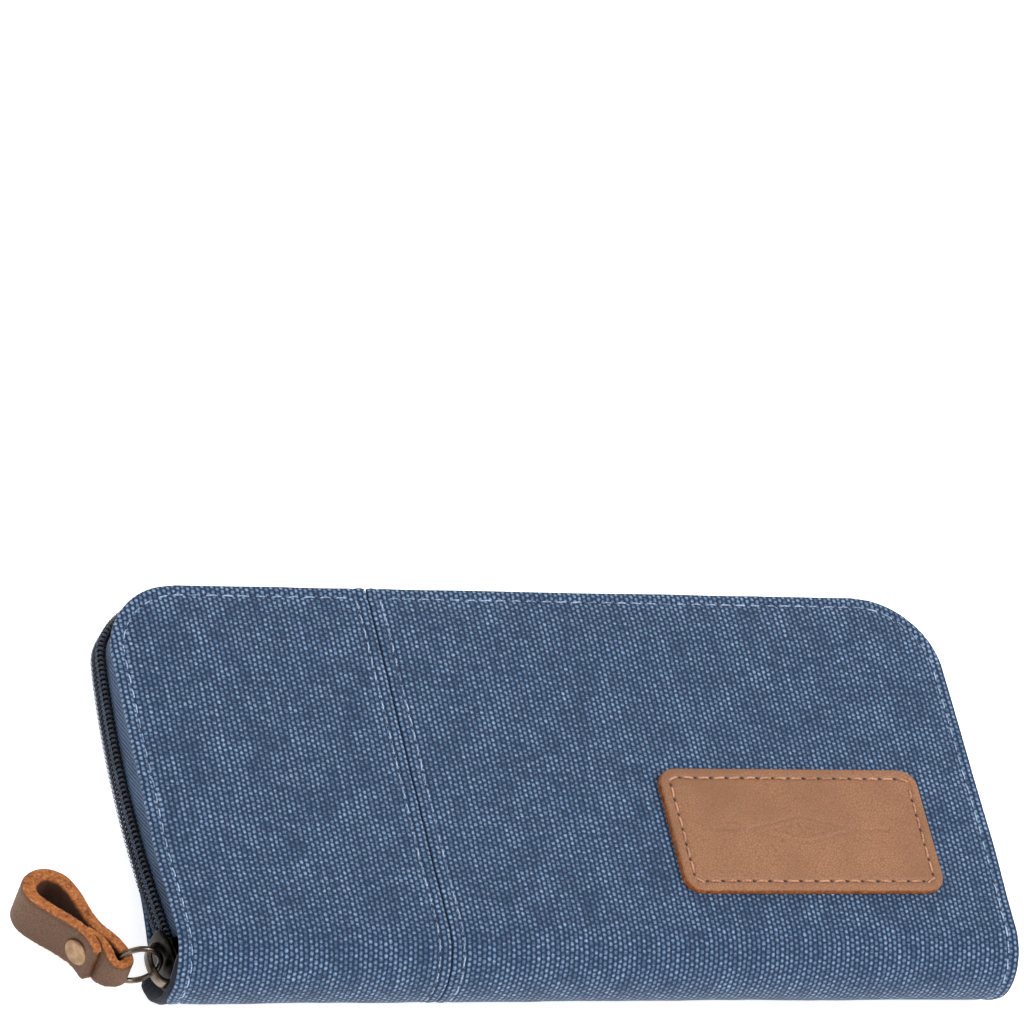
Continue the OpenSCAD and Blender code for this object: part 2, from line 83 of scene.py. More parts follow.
def setCamera():
    right = Vector(view["right"]).normalized()
    back = right.cross(Vector(view["up"])).normalized()
    up = back.cross(right)
    turn = Matrix((right, up, back)).transposed().to_4x4()
    lens = bpy.data.cameras.new("camera")
    lens.lens = view["lens"]
    lens.sensor_width = 36
    lens.clip_start = 0.05
    lens.clip_end = 20
    camera = bpy.data.objects.new("camera", lens)
    camera.matrix_world = Matrix.Translation(view["place"]) @ turn
    bpy.context.scene.collection.objects.link(camera)
    bpy.context.scene.camera = camera


setCamera()
bpy.context.scene.view_settings.view_transform = "Standard"

studio = {
    "sky": (1.0, 1.0, 1.0),
    "skyStrength": 0.75,
    "lights": {  # place, power, size
        "keyLight": ((0.9, -0.5, 1.5), 26.0, 0.8),
        "fillLight": ((-1.2, -0.9, 1.0), 7.0, 1.2),
        "rimLight": ((-0.3, 1.4, 0.9), 6.0, 1.0),
    },
}


def areaLight(name, place, power, size):
    lamp = bpy.data.lights.new(name, "AREA")
    lamp.energy = power
    lamp.shape = "DISK"
    lamp.size = size
    light = bpy.data.objects.new(name, lamp)
    light.location = place
    aim = Vector((0, 0, 0.01)) - Vector(place)
    light.rotation_euler = aim.to_track_quat("-Z", "Y").to_euler()
    bpy.context.scene.collection.objects.link(light)


def lightStudio():
    world = bpy.data.worlds.new("studio")
    world.use_nodes = True
    sky = world.node_tree.nodes["Background"]
    sky.inputs["Color"].default_value = (*studio["sky"], 1)
    sky.inputs["Strength"].default_value = studio["skyStrength"]
    bpy.context.scene.world = world
    for name, (place, power, size) in studio["lights"].items():
        areaLight(name, place, power, size)


lightStudio()
print("camera and light set")

# Shader maths.


class Value:  # one socket, so that sums on it are written as Python
    def __init__(self, shade, socket):
        self.shade = shade
        self.socket = socket

    def calc(self, operation, *others):
        return self.shade.math(operation, self, *others)

    def __add__(self, other):
        return self.calc("ADD", other)

    def __sub__(self, other):
        return self.calc("SUBTRACT", other)

    def __rsub__(self, other):
        return self.shade.math("SUBTRACT", other, self)

    def __mul__(self, other):
        return self.calc("MULTIPLY", other)

    def __pow__(self, other):
        return self.calc("POWER", other)

    __radd__ = __add__
    __rmul__ = __mul__

    def step(self, low, high):  # 0 below low, 1 above high, smooth between
        return self.shade.node("ShaderNodeMapRange", {"interpolation_type": "SMOOTHSTEP"},
                               {"Value": self, "From Min": low, "From Max": high}, "Result")


def linear(colour):
    return [c / 12.92 if c <= 0.04045 else ((c + 0.055) / 1.055) ** 2.4
            for c in (v / 255 for v in colour)]


class Shade:
    def __init__(self, name, **fixed):
        self.material = bpy.data.materials.new(name)
        self.material.use_nodes = True
        self.tree = self.material.node_tree
        self.shader = self.tree.nodes["Principled BSDF"]
        for socket, value in fixed.items():
            self.shader.inputs[socket.replace("_", " ")].default_value = value

    def node(self, kind, settings=None, inputs=None, out=0):
        made = self.tree.nodes.new(kind)
        for key, value in (settings or {}).items():
            setattr(made, key, value)
        for key, value in (inputs or {}).items():
            self.join(value, made.inputs[key])
        return Value(self, made.outputs[out])

    def join(self, value, socket):
        if isinstance(value, Value):
            self.tree.links.new(value.socket, socket)
        elif isinstance(value, (tuple, list)) and len(value) == 3 and socket.type == "RGBA":
            socket.default_value = (*linear(value), 1)
        else:
            socket.default_value = value

    def math(self, operation, *values):
        return self.node("ShaderNodeMath", {"operation": operation}, dict(enumerate(values)))

    def mix(self, factor, first, second):
        return self.node("ShaderNodeMix", {"data_type": "RGBA"},
                         {0: factor, 6: first, 7: second}, 2)

    def place(self):
        return self.node("ShaderNodeTexCoord", out="Object")

    def attribute(self, name, out="Vector"):
        return self.node("ShaderNodeAttribute", {"attribute_name": name}, out=out)

    def parts(self, vector):
        made = self.tree.nodes.new("ShaderNodeSeparateXYZ")
        self.join(vector, made.inputs[0])
        return [Value(self, made.outputs[k]) for k in range(3)]

    def scaled(self, vector, factors):
        return self.node("ShaderNodeVectorMath", {"operation": "MULTIPLY"}, {0: vector, 1: factors})

    def noise(self, vector, scale, detail=2.0, rough=0.5):
        return self.node("ShaderNodeTexNoise", None,
                         {"Vector": vector, "Scale": scale, "Detail": detail, "Roughness": rough})

    def bump(self, height, strength, depth):
        return self.node("ShaderNodeBump", None,
                         {"Height": height, "Strength": strength, "Distance": depth})

    def finish(self, colour, rough=None, normal=None):
        for socket, value in (("Base Color", colour), ("Roughness", rough), ("Normal", normal)):
            if value is not None:
                self.join(value, self.shader.inputs[socket])
        return self.material


# Finishes.


def weaveHeights(shade, spot, warp, weft, wander):
    # Plain weave: rounded threads that pass over and under in turn, as columns of dots.
    drift = shade.noise(spot, 0.35, 2.0) - 0.5
    x, y, _ = shade.parts(spot)
    column = ((x + drift * wander) * (math.pi / warp)).calc("COSINE")
    beat = ((y + drift * (wander * 0.7)) * (math.pi / weft)).calc("COSINE")
    over = beat * column.calc("SIGN") * 0.5 + 0.5
    return column.calc("ABSOLUTE"), over


def makeCanvas():
    tone = {
        "deep": (12, 29, 54),
        "mid": (38, 62, 93),
        "pale": (80, 108, 140),
        "dot": (129, 156, 188),
        "warp": 1.12,
        "weft": 0.62,
    }
    shade = Shade("washed_canvas", Roughness=0.86, Specular_IOR_Level=0.22, Sheen_Weight=0.08,
                  Sheen_Roughness=0.5)
    spot = shade.attribute("weave")
    column, over = weaveHeights(shade, spot, tone["warp"], tone["weft"], 0.55)
    slubWeft = shade.noise(shade.scaled(spot, (0.16, 1.7, 0)), 1.0, 2.0)
    slubWarp = shade.noise(shade.scaled(spot, (1.0, 0.12, 0)), 1.0, 2.0)
    grit = shade.noise(spot, 2.6, 3.0, 0.7)
    knots = shade.noise(spot, 0.95, 1.0)
    cloud = shade.noise(spot, 0.11, 5.0, 0.62)
    wear = shade.attribute("wear", "Fac")
    thread = (slubWeft * 0.6 + slubWarp * 0.4).step(0.36, 0.64)
    bead = column ** 1.15 * (over ** 0.9 * 0.72 + 0.28)
    dots = (bead + (grit - 0.5) * 0.65).step(0.14, 0.92)
    wash = (cloud * 0.5 + wear * 0.12 + knots * 0.5 + (thread - 0.5) * 0.1).step(0.3, 0.76)
    ground = shade.mix((grit - 0.3) * 1.1, tone["deep"], tone["mid"])
    fleck = wash * 0.7 + thread * 0.5 + (grit - 0.5) * 0.8 - 0.15
    light = shade.mix(fleck, tone["pale"], tone["dot"])
    tint = shade.mix(dots * (wash * 0.4 + thread * 0.3 + 0.42), ground, light)
    height = bead + grit * 0.5 + thread * 0.2
    return shade.finish(tint, 0.8 + dots * 0.1, shade.bump(height, 0.8, 0.00026))


def makeThread(name, colour, dark):
    shade = Shade(name, Roughness=0.75, Specular_IOR_Level=0.3, Sheen_Weight=0.2)
    fuzz = shade.noise(shade.place(), 2600.0, 2.0)
    wide = shade.noise(shade.place(), 160.0, 1.0)
    tint = shade.mix((fuzz * 0.6 + wide * 0.4).step(0.36, 0.64), dark, colour)
    return shade.finish(tint, None, shade.bump(fuzz, 0.5, 0.0001))


def makeTape():
    shade = Shade("zip_tape", Roughness=0.8, Specular_IOR_Level=0.3, Sheen_Weight=0.15)
    spot = shade.attribute("weave")
    along, across, _ = shade.parts(spot)
    twill = ((along + across * 1.9) * (math.pi * 2 / 1.35)).calc("SINE") * 0.5 + 0.5
    rib = (across * (math.pi * 2 / 0.5)).calc("SINE") * 0.5 + 0.5
    fleck = shade.noise(spot, 2.8, 2.0, 0.6)
    cloud = shade.noise(spot, 0.12, 3.0)
    level = (twill * 0.4 + rib * 0.12 + fleck * 0.6 + (cloud - 0.5) * 0.5).step(0.30, 0.86)
    tint = shade.mix(level, (22, 38, 62), (76, 99, 130))
    return shade.finish(tint, None, shade.bump(twill * 0.6 + rib * 0.3 + fleck * 0.3, 0.6, 0.00014))


def makeNylon():
    shade = Shade("zip_coil", Roughness=0.42, Specular_IOR_Level=0.5)
    fleck = shade.noise(shade.place(), 900.0, 2.0)
    tint = shade.mix(fleck.step(0.4, 0.7), (14, 20, 31), (34, 46, 64))
    return shade.finish(tint, 0.34 + fleck * 0.25, shade.bump(fleck, 0.3, 0.00005))


# The "inside" colour is painted shade for the strap's flesh face inside its loop.
rawLeather = {"deep": (92, 46, 18), "tip": (206, 150, 98), "inside": (50, 26, 13)}


def makeLeather(name, grain, dark, pale, edge, pores=1.0):
    # One leather: grain on the faces, raw fibres where the "cut" attribute says so, and painted
    # shade where the "inner" attribute says so.
    shade = Shade(name, Specular_IOR_Level=0.35)
    cut = shade.attribute("cut", "Fac")
    spot = shade.place()
    cells = shade.node("ShaderNodeTexVoronoi", {"feature": "DISTANCE_TO_EDGE"},
                       {"Vector": spot, "Scale": 1500.0 * pores})
    fine = shade.noise(spot, 2400.0, 3.0, 0.6)
    blotch = shade.noise(spot, 70.0, 4.0, 0.62)
    wide = shade.noise(spot, 22.0, 3.0, 0.55)
    fibre = shade.noise(spot, 1500.0, 4.0, 0.75)
    clump = shade.noise(spot, 420.0, 3.0, 0.7)
    tone = (blotch * 0.55 + wide * 0.55 - 0.05).step(0.3, 0.72)
    face = shade.mix(tone, dark, grain)
    face = shade.mix((fine * 0.6 + wide * 0.5).step(0.5, 0.78) * 0.5, face, pale)
    face = shade.mix(1.0 - cells.step(0.0, 0.16), face, dark)
    raw = shade.mix((fibre * 0.7 + clump * 0.4).step(0.38, 0.62), rawLeather["deep"], edge)
    raw = shade.mix((clump * 0.3 + fibre * 0.8).step(0.58, 0.76) * 0.7, raw, rawLeather["tip"])
    # Painted shade: the flesh face inside the strap's loop is darkened toward the "inside" colour.
    raw = shade.mix(shade.attribute("inner", "Fac") * 0.92, raw, rawLeather["inside"])
    masked = (cut + (clump - 0.5) * 0.3).step(0.4, 0.6)
    height = cells.step(0.0, 0.2) * (1.0 - masked) * 0.25 + fine * 0.2 + fibre * masked * 1.2
    rough = 0.52 + blotch * 0.16 + masked * 0.3
    return shade.finish(shade.mix(masked, face, raw), rough, shade.bump(height, 0.6, 0.00022))


def makeGunmetal(name, body, bright, roughness):
    shade = Shade(name, Metallic=1.0)
    rub = shade.noise(shade.place(), 260.0, 3.0, 0.6)
    scratch = shade.noise(shade.scaled(shade.place(), (1, 1, 6)), 900.0, 2.0)
    tint = shade.mix((rub * 0.7 + scratch * 0.3).step(0.42, 0.7), body, bright)
    return shade.finish(tint, roughness + rub * 0.14, shade.bump(scratch, 0.12, 0.00005))


def makeFabric(name, dark, light, warp, weft, sheen=0.1, roughness=0.7):
    shade = Shade(name, Roughness=roughness, Specular_IOR_Level=0.3, Sheen_Weight=sheen)
    spot = shade.attribute("weave")
    column, over = weaveHeights(shade, spot, warp, weft, 0.2)
    fleck = shade.noise(spot, 1.6, 2.0)
    cloud = shade.noise(spot, 0.06, 3.0)
    bead = column * over
    level = (bead * 0.4 + 0.3 + (fleck - 0.5) * 0.5 + (cloud - 0.5) * 0.7).step(0.1, 0.85)
    return shade.finish(shade.mix(level, dark, light), None,
                        shade.bump(bead + fleck * 0.3, 0.4, 0.0001))


def makeBoard():
    shade = Shade("stiffener_board", Roughness=0.9, Specular_IOR_Level=0.2)
    spot = shade.place()
    fibre = shade.noise(shade.scaled(spot, (1, 3, 1)), 500.0, 4.0, 0.7)
    cloud = shade.noise(spot, 60.0, 3.0)
    tint = shade.mix((fibre * 0.6 + cloud * 0.4).step(0.3, 0.7), (22, 32, 50), (48, 62, 86))
    return shade.finish(tint, None, shade.bump(fibre, 0.5, 0.00015))


finishes = {
    "canvas": makeCanvas(),
    "thread": makeThread("canvas_thread", (160, 180, 206), (70, 92, 124)),
    "patchThread": makeThread("patch_thread", (186, 138, 110), (136, 92, 68)),
    "zipThread": makeThread("zip_thread", (70, 90, 118), (26, 38, 56)),
    "tape": makeTape(),
    "nylon": makeNylon(),
    "patch": makeLeather("patch_leather", (144, 101, 71), (120, 80, 54), (156, 113, 83),
                         (158, 90, 44), 0.9),
    "strap": makeLeather("strap_leather", (102, 69, 45), (72, 47, 31), (120, 85, 58),
                         (158, 94, 47), 1.0),
    "rivet": makeGunmetal("rivet_brass", (126, 100, 76), (166, 138, 108), 0.36),
    "gunmetal": makeGunmetal("gunmetal", (70, 61, 55), (128, 114, 102), 0.2),
    "coinMetal": makeGunmetal("coin_metal", (96, 92, 88), (150, 144, 136), 0.24),
    "lining": makeFabric("lining_fabric", (18, 28, 48), (44, 60, 92), 0.5, 0.5, 0.15, 0.55),
    "pocket": makeFabric("pocket_fabric", (22, 34, 58), (56, 76, 112), 0.6, 0.6, 0.12, 0.65),
    "endFabric": makeFabric("end_fabric", (8, 13, 24), (26, 37, 58), 0.5, 0.5, 0.1, 0.7),
    "sliderBlack": makeGunmetal("slider_black", (12, 11, 11), (58, 51, 46), 0.26),
    # Both hole finishes are painted shade: dark discs that stand for the shadow inside needle
    # holes.
    "holeShade": makeThread("needle_hole_shade", (70, 46, 32), (44, 28, 20)),
    "canvasHoleShade": makeThread("canvas_hole_shade", (34, 48, 72), (22, 32, 52)),
    "board": makeBoard(),
}
print("finishes made")

# Mesh helpers.


def makePiece(name, points, faces, finish, weave=None, facts=None):
    mesh = bpy.data.meshes.new(name)
    mesh.from_pydata((np.asarray(points, float) * mm).tolist(), [], [tuple(f) for f in faces])
    mesh.polygons.foreach_set("use_smooth", [True] * len(mesh.polygons))
    if weave is not None:
        spots = np.zeros((len(points), 3), np.float32)
        spots[:, :2] = weave
        mesh.attributes.new("weave", "FLOAT_VECTOR", "POINT").data.foreach_set(
            "vector", spots.ravel())
    for key, values in (facts or {}).items():
        mesh.attributes.new(key, "FLOAT", "POINT").data.foreach_set(
            "value", np.asarray(values, np.float32))
    mesh.materials.append(finishes[finish])
    mesh.validate()
    piece = bpy.data.objects.new(name, mesh)
    bpy.context.scene.collection.objects.link(piece)
    return piece


def gridFaces(rows, cols, wrapRows=False, wrapCols=False):
    faces = []
    for r in range(rows if wrapRows else rows - 1):
        for c in range(cols if wrapCols else cols - 1):
            a, b = r * cols, (r + 1) % rows * cols
            d = (c + 1) % cols
            faces.append((a + c, a + d, b + d, b + c))
    return faces


def tubeFaces(rows, cols, flip=False):
    # A grid closed round its columns, with a flat face at each end.
    ends = [tuple(range(cols)), tuple((rows - 1) * cols + k for k in range(cols))]
    ends[0 if flip else 1] = ends[0 if flip else 1][::-1]
    return gridFaces(rows, cols, False, True) + ends


def gridRim(rows, cols):
    # The numbers of a grid's outer points, once round.
    return np.array([c for c in range(cols)] + [r * cols + cols - 1 for r in range(1, rows)]
                    + [(rows - 1) * cols + c for c in range(cols - 2, -1, -1)]
                    + [r * cols for r in range(rows - 2, 0, -1)])


class Gather:  # collects several grids into one mesh
    def __init__(self):
        self.points, self.faces, self.weave, self.facts = [], [], [], {}

    def add(self, points, faces, weave=None, **facts):
        start = len(self.points)
        self.points.extend(np.asarray(points, float).tolist())
        self.faces.extend([tuple(i + start for i in f) for f in faces])
        if weave is not None:
            self.weave.extend(np.asarray(weave, float).tolist())
        for key, values in facts.items():
            self.facts.setdefault(key, []).extend(list(values))

    def wall(self, one, two):
        # Joins two rings of points, given by their numbers.
        for k in range(len(one)):
            m = (k + 1) % len(one)
            self.faces.append((one[k], one[m], two[m], two[k]))

    def piece(self, name, finish):
        return makePiece(name, self.points, self.faces, finish,
                         np.array(self.weave) if self.weave else None, self.facts)

    def close(self, rows, cols):
        # Joins the edges of two grids of the same size that were added one after the other.
        rim = gridRim(rows, cols)
        self.wall(rim, rim + rows * cols)

    def shell(self, name, finish):
        # A piece whose faces are turned to look outward.
        piece = self.piece(name, finish)
        work = bmesh.new()
        work.from_mesh(piece.data)
        bmesh.ops.recalc_face_normals(work, faces=work.faces)
        work.to_mesh(piece.data)
        work.free()
        return piece


def fit(piece, body, slot, *nodes):
    # body is a body's name, or the two ends of a bend between the halves; the ends are not used,
    # and such a piece is only baked in place.
    if isinstance(body, str):
        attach(piece, body)
    else:
        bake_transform(piece)
    if nodes:
        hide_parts(*nodes)


def unit(vectors):
    vectors = np.asarray(vectors, float)
    return vectors / np.maximum(np.linalg.norm(vectors, axis=-1, keepdims=True), 1e-9)


def runOf(path):
    # The length along a path at each of its points.
    return np.concatenate([[0], np.cumsum(np.linalg.norm(np.diff(path, axis=0), axis=1))])


def smooth(share):
    share = np.clip(share, 0, 1)
    return share * share * (3 - 2 * share)


def resample(path, step):
    path = np.asarray(path, float)
    run = runOf(path)
    count = max(2, int(round(run[-1] / step)) + 1)
    at = np.linspace(0, run[-1], count)
    return np.stack([np.interp(at, run, path[:, k]) for k in range(path.shape[1])], 1)


def sweep(gather, path, radius, sides=6, closed=False, flat=1.0, up=(0, 0, 1), taper=None):
    # A round wire or thread along a path, with flat ends when it is open.
    path = np.asarray(path, float)
    ahead = np.roll(path, -1, 0) - np.roll(path, 1, 0) if closed else np.gradient(path, axis=0)
    ahead = unit(ahead)
    side = np.cross(ahead, np.array(up, float))
    weak = np.linalg.norm(side, axis=1) < 0.2
    side[weak] = np.cross(ahead[weak], np.array([1.0, 0.3, 0.0]))
    side = unit(side)
    rise = np.cross(side, ahead)
    angle = np.arange(sides) * 2 * math.pi / sides
    size = np.full(len(path), radius) * (1 if taper is None else np.asarray(taper))
    ring = (side[:, None] * np.cos(angle)[None, :, None]
            + rise[:, None] * np.sin(angle)[None, :, None] * flat) * size[:, None, None]
    points = (path[:, None] + ring).reshape(-1, 3)
    faces = gridFaces(len(path), sides, True, True) if closed else tubeFaces(len(path), sides, True)
    gather.add(points, faces)


def ripple(x, y, z, size, seed=0.0):
    # Smooth unevenness, the same each run.
    return noise.noise(Vector((x / size + seed, y / size - seed, z / size + 2 * seed)))


def bell(value, centre, width):
    return np.exp(-((value - centre) / width) ** 2)


# Outer canvas: two panels, each one sheet from the front, round the spine, to the back.
canvas = {
    "cornerR": 18.0,
    "foldR": 0.6,
    "hem": 5.0,
    "seamGap": 0.12,
    "backInset": 1.9,
    "backCurl": 2.7,
    "stitchInset": 2.7,
    "stitchSink": 0.3,
    "puff": 0.16,
    "waves": 0.22,
    "frontCurl": 0.7,
    "frontOutset": 0.75,
    "fadeBy": 20.0,
    "curlReach": 14.0,
    "cornerPull": 34.0,
    "rimDip": 0.28,
    "rimWide": 0.8,
    "rowStep": 1.25,
    "rowFine": 0.45,
    "columnStep": 1.3,
    "columnFine": 0.34,
    "columnMid": 0.5,
    "fineAt": 2.4,
}
stitches = {
    "pitch": 3.6,
    "length": 2.5,
    "thread": 0.18,
    "lift": 0.06,
    "sink": 0.16,
    "holeShade": 0.27,
    "holeLift": 0.04,
}
spineBend = ((0, spineY * mm, 0.002), (0, spineY * mm, (thick - 2) * mm))


def wrapRows():
    # Rows from the front's top edge, round the spine, to the back's top edge.
    top = topY - canvas["foldR"]
    fine = np.arange(top, top - 5.0, -canvas["rowFine"])
    coarse = np.arange(fine[-1] - 1.2, spineY + 0.3, -canvas["rowStep"])
    flat = np.concatenate([fine, coarse])
    rows = [(y, thick, 0.0, 1.0) for y in flat]
    for a in np.linspace(0, math.pi, 31):
        rows.append((spineY - midZ * math.sin(a), midZ + midZ * math.cos(a),
                     -math.sin(a), math.cos(a)))
    rows += [(y, 0.0, 0.0, -1.0) for y in flat[::-1]]
    return np.array(rows)


def roundedReach(up, wide, r):
    # Half the width of a rounded outline; up is the height above the corner's centre.
    return wide + np.sqrt(np.maximum(r ** 2 - np.clip(up, 0, r) ** 2, 0))


def roundedDepth(x, y, wide, top, r):
    # How far inside a rounded outline a point lies.
    dx, dy = np.abs(x) - (wide - r), y - (top - r)
    straight = np.minimum(wide - np.abs(x), top - y)
    return np.where((dx > 0) & (dy > 0), r - np.hypot(dx, dy), straight)


def edgeDepth(x, y):
    return roundedDepth(x, y, halfW, topY, canvas["cornerR"])


def faceShape(x, y, z, depth):
    # The back face is a little smaller and its rim lifts toward the zip; the front rim dips.
    rise = smooth((y - spineY) / canvas["fadeBy"])
    curl = np.clip(1 - depth / canvas["curlReach"], 0, 1) ** 2 * rise
    back = smooth((midZ - z) / midZ)
    inset = canvas["backInset"] * back - canvas["frontOutset"] * rise * (1 - back)
    x = x * (1 - inset / halfW)
    y = y - inset * np.clip((y - 5) / (topY - 5), 0, 1) ** 2
    return x, y, np.where(z < midZ, canvas["backCurl"] * curl, -canvas["frontCurl"] * curl)


def panelColumns(low, high):
    # Close together at the two grooves of stitching, wide apart between them.
    marks = [low]
    at = low
    while at < high:
        near = min(abs(at - low - canvas["fineAt"]), abs(high - at - canvas["fineAt"]))
        if near < 1.0:
            at += canvas["columnFine"]
        else:
            at += canvas["columnMid"] if near < 2.6 else canvas["columnStep"]
        marks.append(min(at, high))
    if marks[-1] - marks[-2] < 0.15:
        marks.pop(-2)
    return np.array(marks)


def canvasPanel(gather, side):
    # side -1 is the short left panel, +1 the long right one.
    fold = canvas["foldR"]
    inner = seamX + side * (canvas["seamGap"] / 2 + fold)
    outer = side * (halfW - fold)
    base = panelColumns(min(inner, outer), max(inner, outer))
    rows = wrapRows()
    y, z, ny, nz = rows.T
    run = runOf(np.stack([y, z], -1))
    corner = canvas["cornerR"]
    reach = roundedReach(y - (topY - corner), halfW - corner, corner - fold)
    reach = np.where((z > 0.01) & (z < thick - 0.01), halfW - fold, reach)
    pull = smooth(1 - np.abs(outer - base) / canvas["cornerPull"])
    x = base[None, :] + side * (reach - (halfW - fold))[:, None] * pull[None, :]
    yy = np.repeat(y[:, None], len(base), 1)
    zz = np.repeat(z[:, None], len(base), 1)
    curved = (zz > 0.01) & (zz < thick - 0.01)
    depth = np.where(curved, halfW - np.abs(x), edgeDepth(x, yy))
    seamDepth = np.abs(x - seamX) - canvas["seamGap"] / 2
    rise = np.zeros_like(x)
    inset = canvas["stitchInset"]
    wave = 0.75 + 0.25 * np.cos(2 * math.pi * (run[:, None] + x) / stitches["pitch"])
    for d in (depth, seamDepth):
        groove = bell(d, inset, 0.55) * wave
        rise += canvas["puff"] * bell(d, 1.3, 0.9) - canvas["stitchSink"] * groove
        rise -= canvas["rimDip"] * np.clip(1 - d / canvas["rimWide"], 0, 1) ** 2
    lumps = np.array([[ripple(px, py, pz, 17.0, 3.1) + 0.5 * ripple(px, py, pz, 6.5, 9.7)
                       for px, py, pz in zip(rx, ry, rz)] for rx, ry, rz in zip(x, yy, zz)])
    rise += canvas["waves"] * lumps
    weave = np.stack([x, np.repeat(run[:, None], len(base), 1)], -1)
    wear = np.maximum(bell(depth, 0.4, 1.0), bell(seamDepth, 0.3, 0.9)) \
        + 0.55 * np.maximum(bell(depth, inset, 0.9), bell(seamDepth, inset, 0.9))
    xs, ys, lift = faceShape(x, yy, zz, depth)
    points = np.stack([xs, ys + rise * ny[:, None], zz + lift + rise * nz[:, None]], -1)
    points, weave = points.reshape(-1, 3), weave.reshape(-1, 2)
    gather.add(points, gridFaces(*x.shape), weave, wear=wear.ravel())
    foldEdge(gather, points, weave, gridRim(*x.shape), ny, nz)


def foldEdge(gather, points, weave, rim, ny, nz):
    # The canvas turns under round its whole edge and runs a little way back inside.
    fold, hem = canvas["foldR"], canvas["hem"]
    row = rim // (len(points) // len(ny))
    edge = points[rim]
    normal = np.stack([np.zeros(len(rim)), ny[row], nz[row]], -1)
    ahead = unit(np.roll(edge, -1, 0) - np.roll(edge, 1, 0))
    out = unit(np.cross(ahead, normal))
    if np.dot(out[0], (0, 1, 0)) < 0:
        out = -out
    flatY = np.where(np.abs(normal[:, 2]) > 0.99, -out[:, 1] * np.sign(normal[:, 2]), 0)
    turned = np.stack([out[:, 0], flatY], -1)
    rings = [(fold * math.sin(a), fold * (1 - math.cos(a)), fold * a)
             for a in np.radians([25, 50, 75, 100, 125, 150, 180])]
    rings += [(-hem * 0.4, 2 * fold, fold * math.pi + 2),
              (-hem, 2 * fold + 0.1, fold * math.pi + 5)]
    last = rim
    for push, drop, length in rings:
        here = len(gather.points) + np.arange(len(rim))
        gather.add(edge + out * push - normal * drop, [], weave[rim] + turned * length,
                   wear=np.full(len(rim), 1.1 if drop < 1.0 * fold else 0.5))
        gather.wall(last, here)
        last = here


for side, name, word in ((1, "canvasLong", "long"), (-1, "canvasShort", "short")):
    gather = Gather()
    canvasPanel(gather, side)
    fit(gather.shell(name, "canvas"), spineBend, "washed_canvas",
        f"front_canvas_{word}", f"back_canvas_{word}", f"spine_canvas_{word}")
print("canvas made")

# Stitches: short twisted threads that dip into the cloth at both ends.

def stitch(gather, middle, ahead, normal, index, length, size):
    wobble = ripple(index * 0.37, 1.0, 0.0, 1.0, 5.5)
    side = np.cross(normal, ahead)
    ahead = unit(ahead + side * wobble * 0.16)
    steps = np.linspace(-0.5, 0.5, 9)
    arch = np.clip(1 - (2 * np.abs(steps)) ** 3, 0, 1) * (size + stitches["lift"]) - size * 0.9
    path = middle + ahead * (steps * length * (1 + 0.12 * wobble))[:, None] \
        + normal * arch[:, None] + side * (np.sin(steps * 5 + index) * 0.05)[:, None]
    twist = 1 + 0.1 * np.cos(steps * 22)
    sweep(gather, path, size, 7, up=normal, flat=0.85,
          taper=np.clip(1.12 - (2 * np.abs(steps)) ** 4 * 0.5, 0.4, 1) * twist)


def spotsAlong(path, normals, pitch, shift):
    # Even places on a path: number, middle, direction and normal.
    run = runOf(path)
    count = int(run[-1] // pitch)
    pick = lambda at, rows: np.array([np.interp(at, run, rows[:, j]) for j in range(3)])
    for k in range(0 if shift else 1, count):
        at = (k + shift) * run[-1] / count
        yield k, pick(at, path), unit(pick(at + 0.6, path) - pick(at - 0.6, path)), \
            unit(pick(at, normals))


def stitchRow(gather, path, normals, pitch, length, size, offset=0):
    for k, spot, ahead, normal in spotsAlong(path, normals, pitch, 0.5):
        stitch(gather, spot, ahead, normal, k + offset, length, size)


def needleHoleShades(gather, path, normals, pitch, size, lift):
    # A small disc painted dark as painted shade of a needle hole, where the thread goes down
    # between two stitches.
    sides = 8
    for k, spot, ahead, normal in spotsAlong(path, normals, pitch, 0):
        side = np.cross(normal, ahead)
        wide = size * (1 + 0.25 * ripple(k * 0.7, 2.0, 0.0, 1.0, 3.5))
        ring = [spot + normal * lift + (ahead * math.cos(a) * 1.2 + side * math.sin(a)) * wide
                for a in np.linspace(0, 2 * math.pi, sides, endpoint=False)]
        low = [p - normal * (lift + 0.2) for p in ring]
        start = len(gather.points)
        gather.add(ring + low, [tuple(range(sides))[::-1], tuple(range(sides, 2 * sides))])
        gather.wall(range(start, start + sides), range(start + sides, start + 2 * sides))


def onFace(points):
    # Moves points with the canvas.
    x, y, z = np.array(points, float).T
    xs, ys, lift = faceShape(x, y, z, edgeDepth(x, y))
    return np.stack([xs, ys, z + lift], -1)


def wrapPath(x):
    # A line at one x, from the front's top over the spine to the back's top.
    inset = canvas["stitchInset"]
    top = topY - inset if abs(x) < halfW - canvas["cornerR"] else topY - canvas["cornerR"]
    points, normals = [], []
    for y in np.arange(top, spineY, -1.0):
        points.append((x, y, thick))
        normals.append((0, 0, 1))
    for a in np.linspace(0, math.pi, 30):
        points.append((x, spineY - midZ * math.sin(a), midZ + midZ * math.cos(a)))
        normals.append((0, -math.sin(a), math.cos(a)))
    for y in np.arange(spineY + 1, top + 0.1, 1.0):
        points.append((x, y, 0))
        normals.append((0, 0, -1))
    return np.array(points), np.array(normals, float)


